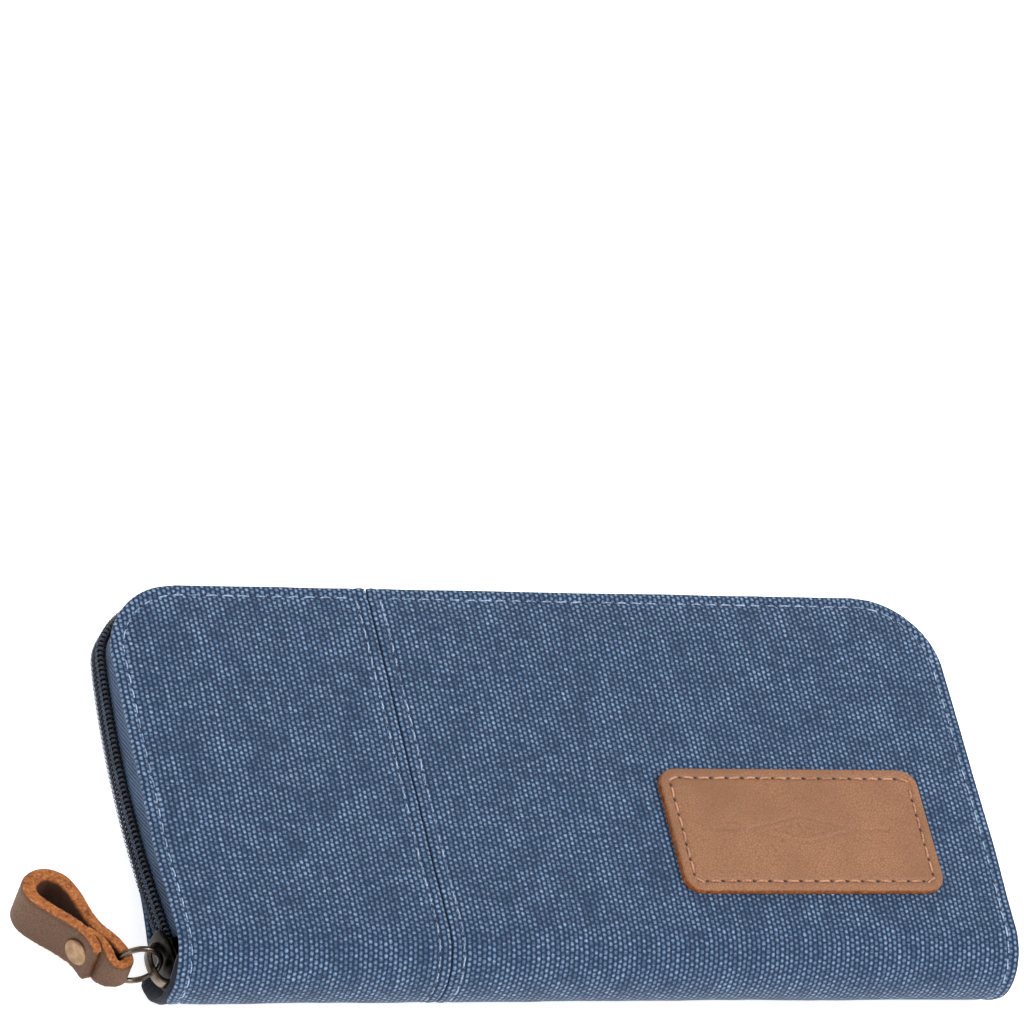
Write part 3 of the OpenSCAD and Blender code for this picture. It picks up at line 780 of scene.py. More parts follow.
def sewCanvas():
    gather, holeShades = Gather(), Gather()
    inset, sink = canvas["stitchInset"], stitches["sink"]
    r = canvas["cornerR"]

    def sew(path, normals, offset):
        stitchRow(gather, path, normals, stitches["pitch"], stitches["length"],
                  stitches["thread"], offset)
        needleHoleShades(holeShades, path, normals, stitches["pitch"], stitches["holeShade"],
                    stitches["holeLift"])

    beside = inset + 0.1
    for k, x in enumerate((-halfW + inset, seamX - beside, seamX + beside, halfW - inset)):
        points, normals = wrapPath(x)
        sew(onFace(points - normals * sink), normals, 100 * k)
    for z, nz in ((thick, 1.0), (0.0, -1.0)):
        for side in (-1, 1):
            arc = [(side * (halfW - r + (r - inset) * math.cos(a)),
                    topY - r + (r - inset) * math.sin(a), z - nz * sink)
                   for a in np.linspace(0, math.pi / 2, 24)]
            stop = seamX + side * (inset + 1.5)
            arc += [(x, topY - inset, z - nz * sink)
                    for x in np.linspace(side * (halfW - r), stop, 40)[1:]]
            sew(onFace(arc), np.tile((0.0, 0.0, nz), (len(arc), 1)), 500 + 60 * side)
    # Painted shade: dark discs at the canvas's needle holes.
    fit(holeShades.piece("canvasNeedleHoleShades", "canvasHoleShade"), spineBend, "canvas_thread")
    fit(gather.piece("canvasStitching", "thread"), spineBend, "canvas_thread",
        "front_stitching", "back_stitching", "spine_stitching")


sewCanvas()
print("stitches made")

# The zip: tapes and coils that follow one line round three sides.
zipParts = {
    "chainOut": 0.9,
    "cornerR": 18.9,
    "endY": -43.5,
    "pitch": 1.2,
    "wire": 0.36,
    "reach": 2.75,
    "bulge": 0.7,
    "bulgeFrom": 31.0,
    "bulgeOver": 7.0,
    "tapeT": 0.45,
}
# The two ends of a bend for the front half's tape and coil, beside the spine; fit does not use
# them, so the pieces are only baked in place.
zipBend = ((0, -0.031, 0.011), (0, -0.02888, 0.01698))
bowX, bowY = jointAt["slider_run"][0][:2]
bowR = bowX + halfW + zipParts["chainOut"]


def chainX(y):
    return bowX - math.sqrt(bowR ** 2 - (y - bowY) ** 2)


def chainPath(step):
    r = zipParts["cornerR"]
    cornerY = topY - canvas["cornerR"]
    cx = -chainX(cornerY) - r
    half = [(chainX(y), y) for y in np.arange(zipParts["endY"], cornerY, 0.5)]
    half += [(-cx - r * math.cos(a), cornerY + r * math.sin(a))
             for a in np.linspace(0, math.pi / 2, 60)]
    path = np.array(half + [(-x, y) for x, y in half[::-1]])
    path = resample(path, 0.5)
    for _ in range(12):
        path[1:-1] = (path[:-2] + path[1:-1] * 2 + path[2:]) / 4
    path = resample(path, step)
    ahead = unit(np.gradient(path, axis=0))
    out = np.stack([-ahead[:, 1], ahead[:, 0]], -1)
    # It stands a little prouder beyond the slider's travel.
    clear = smooth((path[:, 1] - zipParts["bulgeFrom"]) / zipParts["bulgeOver"])
    return path + out * clear[:, None] * zipParts["bulge"], out


def halfWord(front):
    return "front" if front else "back"


def named(stem, front):
    return stem + halfWord(front).capitalize()


def sideWord(side):
    return "right" if side > 0 else "left"


def zipTape(front):
    path, out = chainPath(1.0)
    outer = [(0.25, -0.9), (1.6, -0.92), (3.2, -1.05), (4.6, -1.55), (6.2, -1.95), (7.4, -1.9),
             (8.2, -2.1), (8.5, -2.9), (8.6, -5.0), (8.9, -9.0)]
    if not front:
        outer = [(w if w < 3.4 else 3.4 + (w - 3.4) * 0.6, v - (1.7 if v < -2 else 0))
                 for w, v in outer]
    t = zipParts["tapeT"]
    inner = [(w - (t if v < -2.8 else 0), v - (0 if v < -2.8 else t)) for w, v in outer[::-1]]
    profile = np.array(outer + inner)
    length, run = runOf(profile), runOf(path)
    low = np.clip((spineY + 2 - path[:, 1]) / 8, 0, 1)[:, None]
    w = profile[None, :, 0] * (1 - low) + np.minimum(profile[None, :, 0], 8.0) * low
    v = np.repeat(profile[None, :, 1], len(path), 0)
    v = v + 0.18 * np.array([[ripple(a, b, 0, 6.0, 2.2) for b in profile[:, 0]] for a in run]) \
        * np.clip((profile[:, 0] - 3.5) / 3, 0, 1)[None, :]
    sign = 1 if front else -1
    xy = path[:, None] + out[:, None] * v[..., None]
    points = np.concatenate([xy, (midZ + sign * w)[..., None]], -1)
    weave = np.stack([np.repeat(run[:, None], len(profile), 1),
                      np.repeat(length[None, :], len(path), 0)], -1)
    gather = Gather()
    gather.add(points.reshape(-1, 3), tubeFaces(len(path), len(profile)), weave.reshape(-1, 2))
    body = zipBend if front else "back_half"
    fit(gather.shell(named("zipTape", front), "tape"), body, "zip_tape",
        *(["zip_tape_front"] if front else
          ["zip_tape_back", "zip_end_tape_left", "zip_end_tape_right"]))


def alongChain(path, out, run, at, v, w):
    x = np.interp(at, run, path[:, 0]) + np.interp(at, run, out[:, 0]) * v
    y = np.interp(at, run, path[:, 1]) + np.interp(at, run, out[:, 1]) * v
    return np.stack([x, y, midZ + w], -1)


def zipCoil(front):
    path, out = chainPath(0.8)
    run = runOf(path)
    start, stop = 3.0, run[-1] - 3.0
    turns = int((stop - start) / zipParts["pitch"])
    perTurn = 14
    angle = np.arange(turns * perTurn) * 2 * math.pi / perTurn
    at = start + zipParts["pitch"] * angle / (2 * math.pi) + (0 if front else zipParts["pitch"] / 2)
    cos, sin = np.cos(angle), np.sin(angle)
    reach = zipParts["reach"] - zipParts["wire"]
    w = (reach - 0.15) / 2 + 0.15 + (reach - 0.15) / 2 * np.sign(cos) * np.abs(cos) ** 0.75
    v = 0.62 * np.sign(sin) * np.abs(sin) ** 0.7
    sign = 1 if front else -1
    gather = Gather()
    sweep(gather, alongChain(path, out, run, at, v, sign * w), zipParts["wire"], 5)
    body = zipBend if front else "back_half"
    fit(gather.piece(named("zipCoil", front), "nylon"), body, "zip_coil",
        *(["zip_coil_front"] if front else
          ["zip_coil_back", "zip_end_coil_left", "zip_end_coil_right"]))
    # Two rows of fine thread hold the coil to its tape.
    sew = Gather()
    beat = np.arange(start, stop, zipParts["pitch"] / 6)
    for middle in (1.25, 1.95):
        phase = beat * 2 * math.pi / zipParts["pitch"]
        lift = 0.98 + 0.14 * np.cos(phase * 2)
        sweep(sew, alongChain(path, out, run, beat, lift, sign * (middle + 0.26 * np.sin(phase))),
              0.1, 5)
    fit(sew.piece(named("zipThread", front), "zipThread"), body, "zip_coil")


for front in (True, False):
    zipTape(front)
    zipCoil(front)
print("zip made")

endCap = {
    "core": 6.2,
    "grow": 3.2,
    "lobe": 1.3,
    "floor": 92.4,
    "roll": 5.6,
    "out": 0.9,
    "crease": 0.25,
    "tuck": 22.0,
}


def zipEndCap(side):
    # The folded tape ends make a dark roll in the open end of the spine.
    gather = Gather()
    rounds = np.linspace(0, 1, 19)
    angles = np.linspace(0, 2 * math.pi, 96, endpoint=False)
    points, weave = [], []
    for share in rounds:
        for a in angles:
            back = float(smooth((0.5 - math.cos(a)) / 1.2))
            full = float(smooth((0.55 * back + 0.1 - math.sin(a)) / 0.9))
            reach = endCap["core"] + (endCap["grow"] + endCap["lobe"] * back) * full
            radius = reach * share
            u, v = radius * math.cos(a), radius * math.sin(a)
            roll = math.exp(-((share - 0.86 - 0.08 * back) / 0.13) ** 2) * full
            far = endCap["floor"] + (endCap["roll"] + endCap["out"] * back) * roll \
                + endCap["crease"] * ripple(u, v, 0, 2.4, 3.0)
            far -= max(0.0, share - 0.93) * endCap["tuck"] * (1 - 0.8 * back)
            points.append((side * far, spineY + v, midZ + u))
            weave.append((u, v + far))
    gather.add(points, gridFaces(len(rounds), len(angles), False, True), weave)
    word = sideWord(side)
    fit(gather.shell(f"zipEndCap{word.capitalize()}", "endFabric"), spineBend, "zip_tape",
        f"zip_end_tab_{word}")


for side in (-1, 1):
    zipEndCap(side)

# Slider, bridge and ring.
slider = {
    "y": -38.0,
    "length": 12.0,
    "plate": 1.2,
    "plateY": 1.4,
    "underY": -1.9,
    "underT": 1.0,
    "halfWide": 4.75,
    "bridgeX": -1.0,
    "bridgeHigh": 3.4,
    "bridgeLong": 10.0,
    "bridgeWide": 2.4,
    "bridgeT": 1.1,
}
sliderTurn = math.asin((bowY - slider["y"]) / bowR)
sliderFrame = Matrix.Translation((chainX(slider["y"]), slider["y"], midZ)) \
    @ Matrix.Rotation(math.pi / 2 + sliderTurn, 4, "Z")


def smoothByAngle(piece, angle):
    mesh = piece.data
    mesh.polygons.foreach_set("use_smooth", [True] * len(mesh.polygons))
    mesh.set_sharp_from_angle(angle=math.radians(angle))


def bevelPiece(piece, width):
    mod = piece.modifiers.new("bevel", "BEVEL")
    mod.width = width * mm
    mod.segments = 3
    mod.limit_method = "ANGLE"
    mod.angle_limit = math.radians(35)
    bpy.context.view_layer.update()
    depsgraph = bpy.context.evaluated_depsgraph_get()
    made = bpy.data.meshes.new_from_object(piece.evaluated_get(depsgraph))
    piece.modifiers.clear()
    piece.data = made
    smoothByAngle(piece, 40)
    return piece


def prism(gather, outline, low, high, lay):
    # An outline drawn up between two levels; lay puts (a, b, level) into the slider's x, y, z.
    n = len(outline)
    points = [sliderFrame @ Vector(lay(a, b, level)) for level in (low, high) for a, b in outline]
    faces = [tuple(range(n)), tuple(range(n, 2 * n))[::-1]]
    faces += [(k, n + k, n + (k + 1) % n, (k + 1) % n) for k in range(n)]
    gather.add(points, faces)


def makeSlider():
    gather = Gather()
    half, wide = slider["length"] / 2, slider["halfWide"]
    top, under = slider["plateY"], slider["underY"]
    plan = [(-half, wide - 2.0), (-half + 0.6, wide - 0.9), (-half + 2.2, wide - 0.1),
            (-half + 4.5, wide), (half - 4.4, wide - 0.1), (half - 2.2, wide - 0.7),
            (half - 0.7, wide - 1.5), (half, wide - 2.6)]
    plan += [(x, -z) for x, z in plan[::-1]]
    lay = lambda a, b, level: (a, level, b)
    prism(gather, plan, top, top + slider["plate"], lay)
    prism(gather, plan, under - slider["underT"], under, lay)
    for sign in (-1, 1):
        flange = [(-half + 2.0, sign * (wide - 0.9)), (half - 3.2, sign * (wide - 0.9)),
                  (half - 3.2, sign * wide), (-half + 2.0, sign * wide)]
        prism(gather, flange, -0.75, top + 0.1, lay)
        prism(gather, flange, under - 0.1, -1.25, lay)
    post = [(-half + 0.6, -0.3), (-half + 3.0, -0.3), (-half + 3.0, 0.3), (-half + 0.6, 0.3)]
    prism(gather, post, under - 0.2, top + 0.2, lay)
    fit(bevelPiece(gather.shell("sliderBody", "sliderBlack"), 0.28), "zip_slider", "gunmetal",
        "slider_body")
    # The bridge is a bent bar that stands on the plate.
    foot = top + slider["plate"] - 0.3
    long, high, t = slider["bridgeLong"] / 2, slider["bridgeHigh"] + 0.3, slider["bridgeT"]
    outer, inner = [], []
    for a in np.linspace(0, math.pi, 25):
        flat = math.sin(a) ** 0.62
        outer.append((slider["bridgeX"] - long * math.cos(a), foot + high * flat))
        inner.append((slider["bridgeX"] - (long - t * 1.1) * math.cos(a), foot + (high - t) * flat))
    gather = Gather()
    wide = slider["bridgeWide"] / 2
    prism(gather, outer + inner[::-1], -wide, wide, lambda a, b, level: (a, b, level))
    fit(bevelPiece(gather.shell("sliderBridge", "gunmetal"), 0.3), "zip_slider", "gunmetal",
        "slider_bridge")


makeSlider()

ringNear = jointAt["ring_swing"][0]
ringFar, ringAxis = jointAt["strap_swing"]
ringAxis = unit(ringAxis)
ringOut = unit(ringFar - ringNear)
ringR = np.linalg.norm(ringFar - ringNear) / 2
ringWire = 0.62


def recolour(node, finish):
    # A node of the CAD that is kept as it is, in its own finish.
    materials = frame["nodes"][node].data.materials
    materials.clear()
    materials.append(finishes[finish])


def makeRing():
    gather = Gather()
    middle = (ringNear + ringFar) / 2
    angles = np.linspace(0, 2 * math.pi, 72, endpoint=False)
    path = middle + np.outer(np.cos(angles), ringOut) * ringR \
        + np.outer(np.sin(angles), ringAxis) * ringR
    sweep(gather, path, ringWire, 14, True, up=np.cross(ringOut, ringAxis))
    fit(gather.piece("pullRing", "gunmetal"), "ring", "gunmetal", "pull_ring")


makeRing()
for node in ("zip_top_stops", "zip_bottom_stop"):
    recolour(node, "gunmetal")
print("slider and ring made")

# The pull: one leather strip, folded round the ring and back into a finger loop.
strap = {
    "turn": 45.0,
    "width": 10.0,
    "edgeR": 0.34,
    "fuzz": 0.16,
    "rivetAt": 7.7,
    "rivetR": 3.0,
    "capHigh": 2.55,
    "capTilt": -13.0,
    "postHigh": -3.35,
}
# Each place on the strip: along, out of the face, thickness, width share.
stripLine = [
    (8.2, -0.35, 1.0, 1.0), (6.2, -0.3, 1.3, 1.0), (4.4, 0.1, 2.0, 1.0), (3.0, 0.95, 2.3, 1.0),
    (1.8, 1.65, 2.5, 0.96), (0.0, 2.35, 2.7, 0.75), (-1.5, 2.05, 2.6, 0.58),
    (-2.45, 0.8, 2.6, 0.57), (-2.4, -0.8, 2.6, 0.57), (-1.3, -1.9, 2.7, 0.58),
    (0.4, -2.15, 2.8, 0.75), (3.0, -1.95, 2.8, 0.96), (6.6, -2.05, 2.8, 1.0),
    (9.2, -3.0, 2.8, 1.0), (11.8, -4.5, 2.9, 1.0), (15.4, -6.6, 3.2, 1.0), (19.0, -7.9, 3.4, 1.0),
    (22.0, -7.1, 3.4, 1.0), (23.6, -5.1, 3.4, 1.0), (23.95, -2.7, 3.4, 1.0), (23.1, -0.6, 3.3, 1.0),
    (21.2, 0.75, 3.3, 1.0), (17.9, 0.95, 3.2, 1.0), (13.6, 0.65, 3.1, 1.0), (10.4, 0.55, 2.9, 1.0),
    (7.8, 0.85, 2.8, 1.0), (6.0, 1.6, 2.7, 1.0), (4.5, 2.45, 2.6, 1.0), (3.4, 3.2, 2.4, 0.99),
]
turn = math.radians(strap["turn"])
strapAlong = math.cos(turn) * np.cross(ringOut, ringAxis) + math.sin(turn) * ringOut
strapFace = -math.sin(turn) * np.cross(ringOut, ringAxis) + math.cos(turn) * ringOut


def strapPoint(s, n, t):
    return ringFar + strapAlong * s + strapFace * n + ringAxis * t


def smoothLine(rows, step, rounds=10):
    line = resample(np.array(rows, float), step)
    for _ in range(rounds):
        line[1:-1] = (line[:-2] + 2 * line[1:-1] + line[2:]) / 4
    return line


def makeStrap():
    line = smoothLine(stripLine, 0.4)
    ahead = unit(np.gradient(line[:, :2], axis=0))
    left = np.stack([-ahead[:, 1], ahead[:, 0]], -1)
    # The strip's section: grain face, cut edge, flesh face, cut edge.
    r = strap["edgeR"]
    across, down = np.linspace(-1, 1, 17), np.linspace(0.8, -0.8, 7)
    section = [(1.0, u) for u in across] + [(v, 1.0) for v in down]
    section += [(-1.0, u) for u in across[::-1]] + [(v, -1.0) for v in down[::-1]]
    n = len(section)
    cut = [0.0] * len(across) + [1.0] * (n - len(across))
    # inner marks the flesh face, which the leather finish darkens as painted shade.
    inner = [1.0 if a == -1.0 and abs(b) < 0.99 else 0.0 for a, b in section]
    points, cuts = [], []
    for i, (s, h, thickness, share) in enumerate(line):
        halfT, halfWide = thickness / 2, strap["width"] / 2 * share
        end = min(i, len(line) - 1 - i) * 0.4
        tongue = math.sqrt(max(0.0, 1 - max(0.0, 1 - end / 1.4) ** 2)) if i > len(line) / 2 else 1.0
        halfWide *= 0.84 + 0.16 * tongue
        for (a, b), c in zip(section, cut):
            soft = 1.0
            if abs(a) == 1.0:
                edge = halfWide * (1 - abs(b))
                if edge < r:
                    soft = 1 - (r - math.sqrt(max(0, r * r - (r - edge) ** 2))) / halfT * 0.8
            side = b * halfWide
            if abs(b) == 1.0:
                side = math.copysign(halfWide - 0.12 * abs(a) ** 3, b)
            off = a * halfT * soft
            px = s + left[i, 0] * -off
            pn = h + left[i, 1] * -off
            rough = strap["fuzz"] * c
            px += rough * ripple(px, pn, side, 0.55, 1.3) * 0.6
            pn += rough * ripple(px, pn, side, 0.55, 7.9) * 0.6
            side += rough * ripple(px, pn, side, 0.7, 4.1) * (1 if abs(b) == 1 else 0)
            points.append(strapPoint(px, pn, side))
            cuts.append(c)
    faces = gridFaces(len(line), n, False, True)
    for start, flip in ((0, False), ((len(line) - 1) * n, True)):
        # End faces are strips between the grain and flesh rows.
        row = list(range(start, start + n))
        grain, flesh = row[:17], row[24:41][::-1]
        for k in range(16):
            quad = (grain[k], grain[k + 1], flesh[k + 1], flesh[k])
            faces.append(quad if flip else quad[::-1])
        faces.append((grain[-1], *row[17:24], flesh[-1]))
        faces.append((flesh[0], *row[41:48], grain[0]))
    gather = Gather()
    gather.add(points, faces, None, cut=cuts, inner=inner * len(line))
    fit(gather.shell("pullStrap", "strap"), "strap", "strap_leather", "pull_strap")


makeStrap()


def lathe(gather, profile, place, along, face, side, count=40):
    # Turns (radius, height) pairs about the face direction.
    rows = []
    for radius, high in profile:
        for k in range(count):
            a = k * 2 * math.pi / count
            rows.append(place + face * high + (along * math.cos(a) + side * math.sin(a)) * radius)
    gather.add(rows, tubeFaces(len(profile), count))


def makeRivet():
    # Tilts with the leather's face, which rises toward the ring.
    tilt = math.radians(strap["capTilt"])
    along = strapAlong * math.cos(tilt) + strapFace * math.sin(tilt)
    face = -strapAlong * math.sin(tilt) + strapFace * math.cos(tilt)
    r = strap["rivetR"]
    gather = Gather()
    cap = [(r * 0.7, -0.6), (r * 0.98, -0.15), (r, 0.05), (r * 0.985, 0.3), (r * 0.94, 0.48),
           (r * 0.86, 0.58), (r * 0.6, 0.64), (r * 0.3, 0.67), (0.05, 0.68)]
    lathe(gather, cap, strapPoint(strap["rivetAt"], strap["capHigh"], 0), along, face, ringAxis)
    fit(gather.shell("rivetCap", "rivet"), "strap", "rivet_brass", "rivet_cap")
    gather = Gather()
    post = [(0.05, -0.3), (r * 0.6, -0.34), (r * 0.8, -0.42), (r * 0.87, -0.6), (r * 0.85, -0.1),
            (1.1, 0.0), (1.08, 4.9), (0.05, 4.9)]
    lathe(gather, post, strapPoint(strap["rivetAt"], strap["postHigh"], 0), strapAlong, strapFace,
          ringAxis)
    fit(gather.shell("rivetPost", "rivet"), "strap", "rivet_brass", "rivet_post")


makeRivet()
print("strap made")

# Inside: linings, card pockets, gussets and the coin pocket; all of it is guessed.
inside = {
    "hemHigh": 3.6,
    "liningT": 0.35,
    "pocketT": 0.3,
    "coinT": 0.4,
    "stitchPitch": 3.0,
    "stitchLength": 2.2,
    "stitchThread": 0.13,
    "pleatIn": 82.3,
    "pleatOut": 88.4,
    "coinPuff": 0.9,
}


def turnOver(points, front):
    points = np.array(points, float)
    if front:
        points[..., 2] = thick - points[..., 2]
    return points


def sheetPiece(name, finish, x, y, z, thickness, front):
    # A thin closed sheet over a grid, with its heights given for the back half.
    top = np.stack([x, y, z + thickness], -1)
    low = np.stack([x, y, z], -1)
    rows, cols = x.shape
    spots = np.stack([x, y], -1).reshape(-1, 2)
    gather = Gather()
    for layer in (top, low):
        gather.add(turnOver(layer, front).reshape(-1, 3), gridFaces(rows, cols), spots)
    gather.close(rows, cols)
    piece = gather.shell(name, finish)
    smoothByAngle(piece, 50)
    return piece


def lumpy(x, y, size, seed):
    return np.array([[ripple(a, b, 0, size, seed) for a, b in zip(ra, rb)] for ra, rb in zip(x, y)])


def pocketBox(front, level):
    # A card pocket's box, and its height as if it were in the back half.
    low, high = boxMm(f"{halfWord(front)}_card_pocket_{level}")
    return low, high, thick - high[2] if front else low[2]


def makeLining(front):
    r = canvas["cornerR"] - 1.0
    wide, top = halfW - 1.6, topY - 1.6
    gy = np.concatenate([np.linspace(spineY + 0.5, top - 6, 40), np.linspace(top - 5, top, 12)])
    gx = np.linspace(-1, 1, 110)
    reach = roundedReach(gy - (top - r), wide - r, r)
    x = gx[None, :] * reach[:, None]
    y = np.repeat(gy[:, None], len(gx), 1)
    depth = np.maximum(edgeDepth(x, y), 0)
    xs, ys, lift = faceShape(x, y, np.full(x.shape, thick if front else 0.0), depth)
    low = 2.2 + (-lift if front else lift)
    z = low + 0.12 * lumpy(x, y, 9.0, 4.4) + 0.05 * lumpy(x, y, 2.5, 1.4)
    word = halfWord(front)
    fit(sheetPiece(named("lining", front), "lining", xs, ys, z, inside["liningT"], front),
        f"{word}_half", "lining_fabric", f"{word}_lining")


def makeCardPocket(front, level):
    word = halfWord(front)
    low, high, zLow = pocketBox(front, level)
    gx = np.linspace(low[0], high[0], 141)
    gy = np.concatenate([np.linspace(low[1], high[1] - inside["hemHigh"] - 0.6, 34),
                         np.linspace(high[1] - inside["hemHigh"], high[1], 9)])
    x, y = np.meshgrid(gx, gy)
    hem = np.clip((y - (high[1] - inside["hemHigh"])) / 0.4, 0, 1)
    rounded = np.clip((y - (high[1] - 0.8)) / 0.8, 0, 1) ** 2
    sag = np.clip((y - high[1] + 14) / 14, 0, 1) ** 2
    column = np.abs(np.abs(x) - high[0] / 2) / (high[0] / 2)
    bow = (1 - column ** 2) * sag * 0.28
    seam = bell(x, 0, 0.7) * 0.1 + bell(np.abs(x), high[0] - 2, 0.6) * 0.1
    z = zLow + 0.05 + bow + 0.14 * hem - 0.12 * rounded - seam
    z += 0.06 * lumpy(x, y, 8.0, level + 2.2)
    z -= 0.08 * bell(y, high[1] - inside["hemHigh"] + 0.8, 0.35)
    dip = 0.5 * (1 - column ** 2) * np.clip((y - high[1] + 6) / 6, 0, 1)
    name = named("cardPocket", front) + str(level)
    fit(sheetPiece(name, "pocket", x, y - dip, z, inside["pocketT"], front),
        f"{word}_half", "pocket_fabric", f"{word}_card_pocket_{level}")


def sewPockets(front):
    # Topstitching along each pocket's hem, down the middle and down both sides.
    word = halfWord(front)
    gather = Gather()
    up = (0.0, 0.0, -1.0) if front else (0.0, 0.0, 1.0)

    def sew(line, offset):
        path = turnOver(line, front)
        stitchRow(gather, path, np.tile(up, (len(path), 1)), inside["stitchPitch"],
                  inside["stitchLength"], inside["stitchThread"], offset)

    for level in (1, 2, 3):
        low, high, zTop = pocketBox(front, level)
        zTop += 0.42
        y = high[1] - inside["hemHigh"] + 0.8
        hem = []
        for x in np.linspace(low[0] + 3, high[0] - 3, 90):
            bow = 1 - (abs(abs(x) - high[0] / 2) / (high[0] / 2)) ** 2
            hem.append((x, y - 0.5 * bow * 0.55, zTop + 0.1 + 0.25 * bow))
        sew(hem, level * 70)
        bottom = high[1] - 7.2 if level < 3 else low[1] + 2
        for x in (low[0] + 2, 0.0, high[0] - 2):
            sew([(x, v, zTop - 0.02) for v in np.linspace(high[1] - 1.5, bottom, 20)], level * 50)
    fit(gather.piece(named("pocketStitching", front), "zipThread"), f"{word}_half", "pocket_fabric")


def makeGusset(side):
    pin, pout = inside["pleatIn"], inside["pleatOut"]
    line = [(3.7, pout), (4.6, pout - 0.6), (6.3, pin), (7.2, pin + 0.2), (9.0, pout - 1.2),
            (10.5, pout - 0.6), (12.0, pout - 1.2), (13.8, pin + 0.2), (14.7, pin),
            (16.4, pout - 0.6), (17.3, pout)]
    line = smoothLine(line, 0.45, 3)
    high = boxMm("gusset_left")[1][1]
    gy = np.linspace(spineY + 2.5, high, 60)
    n = len(line)
    z = np.repeat(line[None, :, 0], len(gy), 0)
    x = np.repeat(line[None, :, 1], len(gy), 0)
    y = np.repeat(gy[:, None], n, 1) - 0.5 * np.clip((gy[:, None] - high + 10) / 10, 0, 1) \
        * (1 - np.cos((z - midZ) * 0.9))
    x = x + 0.25 * lumpy(y, z, 5.0, 8.8)
    gather = Gather()
    weave = np.stack([np.repeat(np.arange(n)[None, :] * 0.45, len(gy), 0), y], -1).reshape(-1, 2)
    for shift in (0, 0.3):
        layer = np.stack([side * (x - shift), y, z], -1)
        gather.add(layer.reshape(-1, 3), gridFaces(len(gy), n), weave)
    gather.close(len(gy), n)
    word = sideWord(side)
    fit(gather.shell(f"gusset{word.capitalize()}", "lining"),
        ((0, 0, 0.0038), (0, 0, (thick - 3.8) * mm)), "lining_fabric", f"gusset_{word}")


def makeSpineLining():
    low, high = boxMm("spine_lining")
    outer = midZ - 1.3
    gx = np.linspace(low[0], high[0], 120)
    ga = np.linspace(0, math.pi, 30)
    gather = Gather()
    for t in (0.0, 0.35):
        points = []
        for a in ga:
            for x in gx:
                r = outer - t + 0.1 * ripple(x, a * 9, 0, 6.0, 2.0)
                points.append((x, spineY - r * math.sin(a), midZ - r * math.cos(a)))
        weave = [(x, a * outer) for a in ga for x in gx]
        gather.add(points, gridFaces(len(ga), len(gx)), weave)
    fit(gather.piece("spineLining", "lining"), spineBend, "lining_fabric", "spine_lining")


def makeCoinPocket():
    low, high = boxMm("coin_wall_back")
    gx = np.linspace(low[0], high[0], 130)
    gy = np.linspace(low[1], high[1], 56)
    x, y = np.meshgrid(gx, gy)
    ex = np.clip(1 - (np.abs(x) / high[0]) ** 6, 0, 1)
    ey = np.clip(1 - ((y - (low[1] + high[1]) / 2) / ((high[1] - low[1]) / 2)) ** 4, 0, 1)
    for front in (False, True):
        puff = inside["coinPuff"] * ex * ey * (0.75 + 0.25 * lumpy(x, y, 16.0, 5.0 + front))
        z = low[2] - puff + 0.08 * lumpy(x, y, 5.0, 1.0 + front) \
            + 0.1 * bell(y, high[1] - 2.2, 0.5)
        fit(sheetPiece(named("coinWall", front), "pocket", x, y, z, inside["coinT"], front),
            "coin_pocket", "pocket_fabric", f"coin_wall_{halfWord(front)}")
    bLow, bHigh = boxMm("coin_pocket_base")
    gz = np.linspace(bLow[2], bHigh[2], 9)
    gather = Gather()
    for lift in (0.0, bHigh[1] - bLow[1]):
        sag = 0.35 * np.sin((gz - bLow[2]) / (bHigh[2] - bLow[2]) * math.pi) * (1 if lift else -1)
        points = [(x0, bLow[1] + lift + down, z0) for x0 in gx for z0, down in zip(gz, sag)]
        gather.add(points, gridFaces(len(gx), len(gz)), [(x0, z0) for x0 in gx for z0 in gz])
    gather.close(len(gx), len(gz))
    fit(gather.shell("coinPocketBase", "lining"), "coin_pocket", "lining_fabric",
        "coin_pocket_base")


def makeCoinZip():
    low, high = boxMm("coin_zip_tape")
    cLow, cHigh = boxMm("coin_zip_coil")
    gx = np.linspace(low[0], high[0], 180)
    for front in (False, True):
        sign = 1 if front else -1
        profile = [(0.42, -0.05), (1.0, 0.0), (1.5, -0.02), (1.78, -0.3), (1.82, -1.6),
                   (1.82, -4.5), (1.6, -4.5), (1.55, -0.6), (1.3, -0.4), (0.42, -0.42)]
        gather = Gather()
        n = len(profile)
        gather.add([(x, high[1] + v, midZ + sign * w) for x in gx for w, v in profile],
                   tubeFaces(len(gx), n), [(x, k * 0.7) for x in gx for k in range(n)])
        fit(gather.shell(named("coinTape", front), "tape"), "coin_pocket", "zip_tape",
            *(["coin_zip_tape"] if front else []))
        pitch, perTurn = 1.0, 12
        turns = int((cHigh[0] - cLow[0] - 1) / pitch)
        angle = np.arange(turns * perTurn) * 2 * math.pi / perTurn
        x = cLow[0] + 0.5 + pitch * angle / (2 * math.pi) + (0 if front else pitch / 2)
        w = 0.82 + 0.68 * np.cos(angle)
        y = (cLow[1] + cHigh[1]) / 2 + 0.42 * np.sin(angle)
        coil = Gather()
        sweep(coil, np.stack([x, y, midZ + sign * w], -1), 0.24, 5)
        fit(coil.piece(named("coinCoil", front), "nylon"), "coin_pocket", "zip_coil",
            *(["coin_zip_coil"] if front else []))


for front in (False, True):
    makeLining(front)
    for level in (1, 2, 3):
        makeCardPocket(front, level)
    sewPockets(front)
for side in (-1, 1):
    makeGusset(side)
makeSpineLining()
makeCoinPocket()
makeCoinZip()
for node, finish in (("back_board", "board"), ("front_board", "board"),
                     ("coin_slider", "coinMetal"), ("coin_pull", "coinMetal")):
    recolour(node, finish)
print("inside made")

# The leather patch, with a sewn border and a plain pressed lozenge.
patch = {
    "r": 4.0,
    "inset": 2.3,
    "pitch": 3.7,
    "length": 2.7,
    "thread": 0.26,
    "holeShade": 0.34,
    "holeLift": 0.03,
    "press": 0.22,
    "grid": 0.3,
}


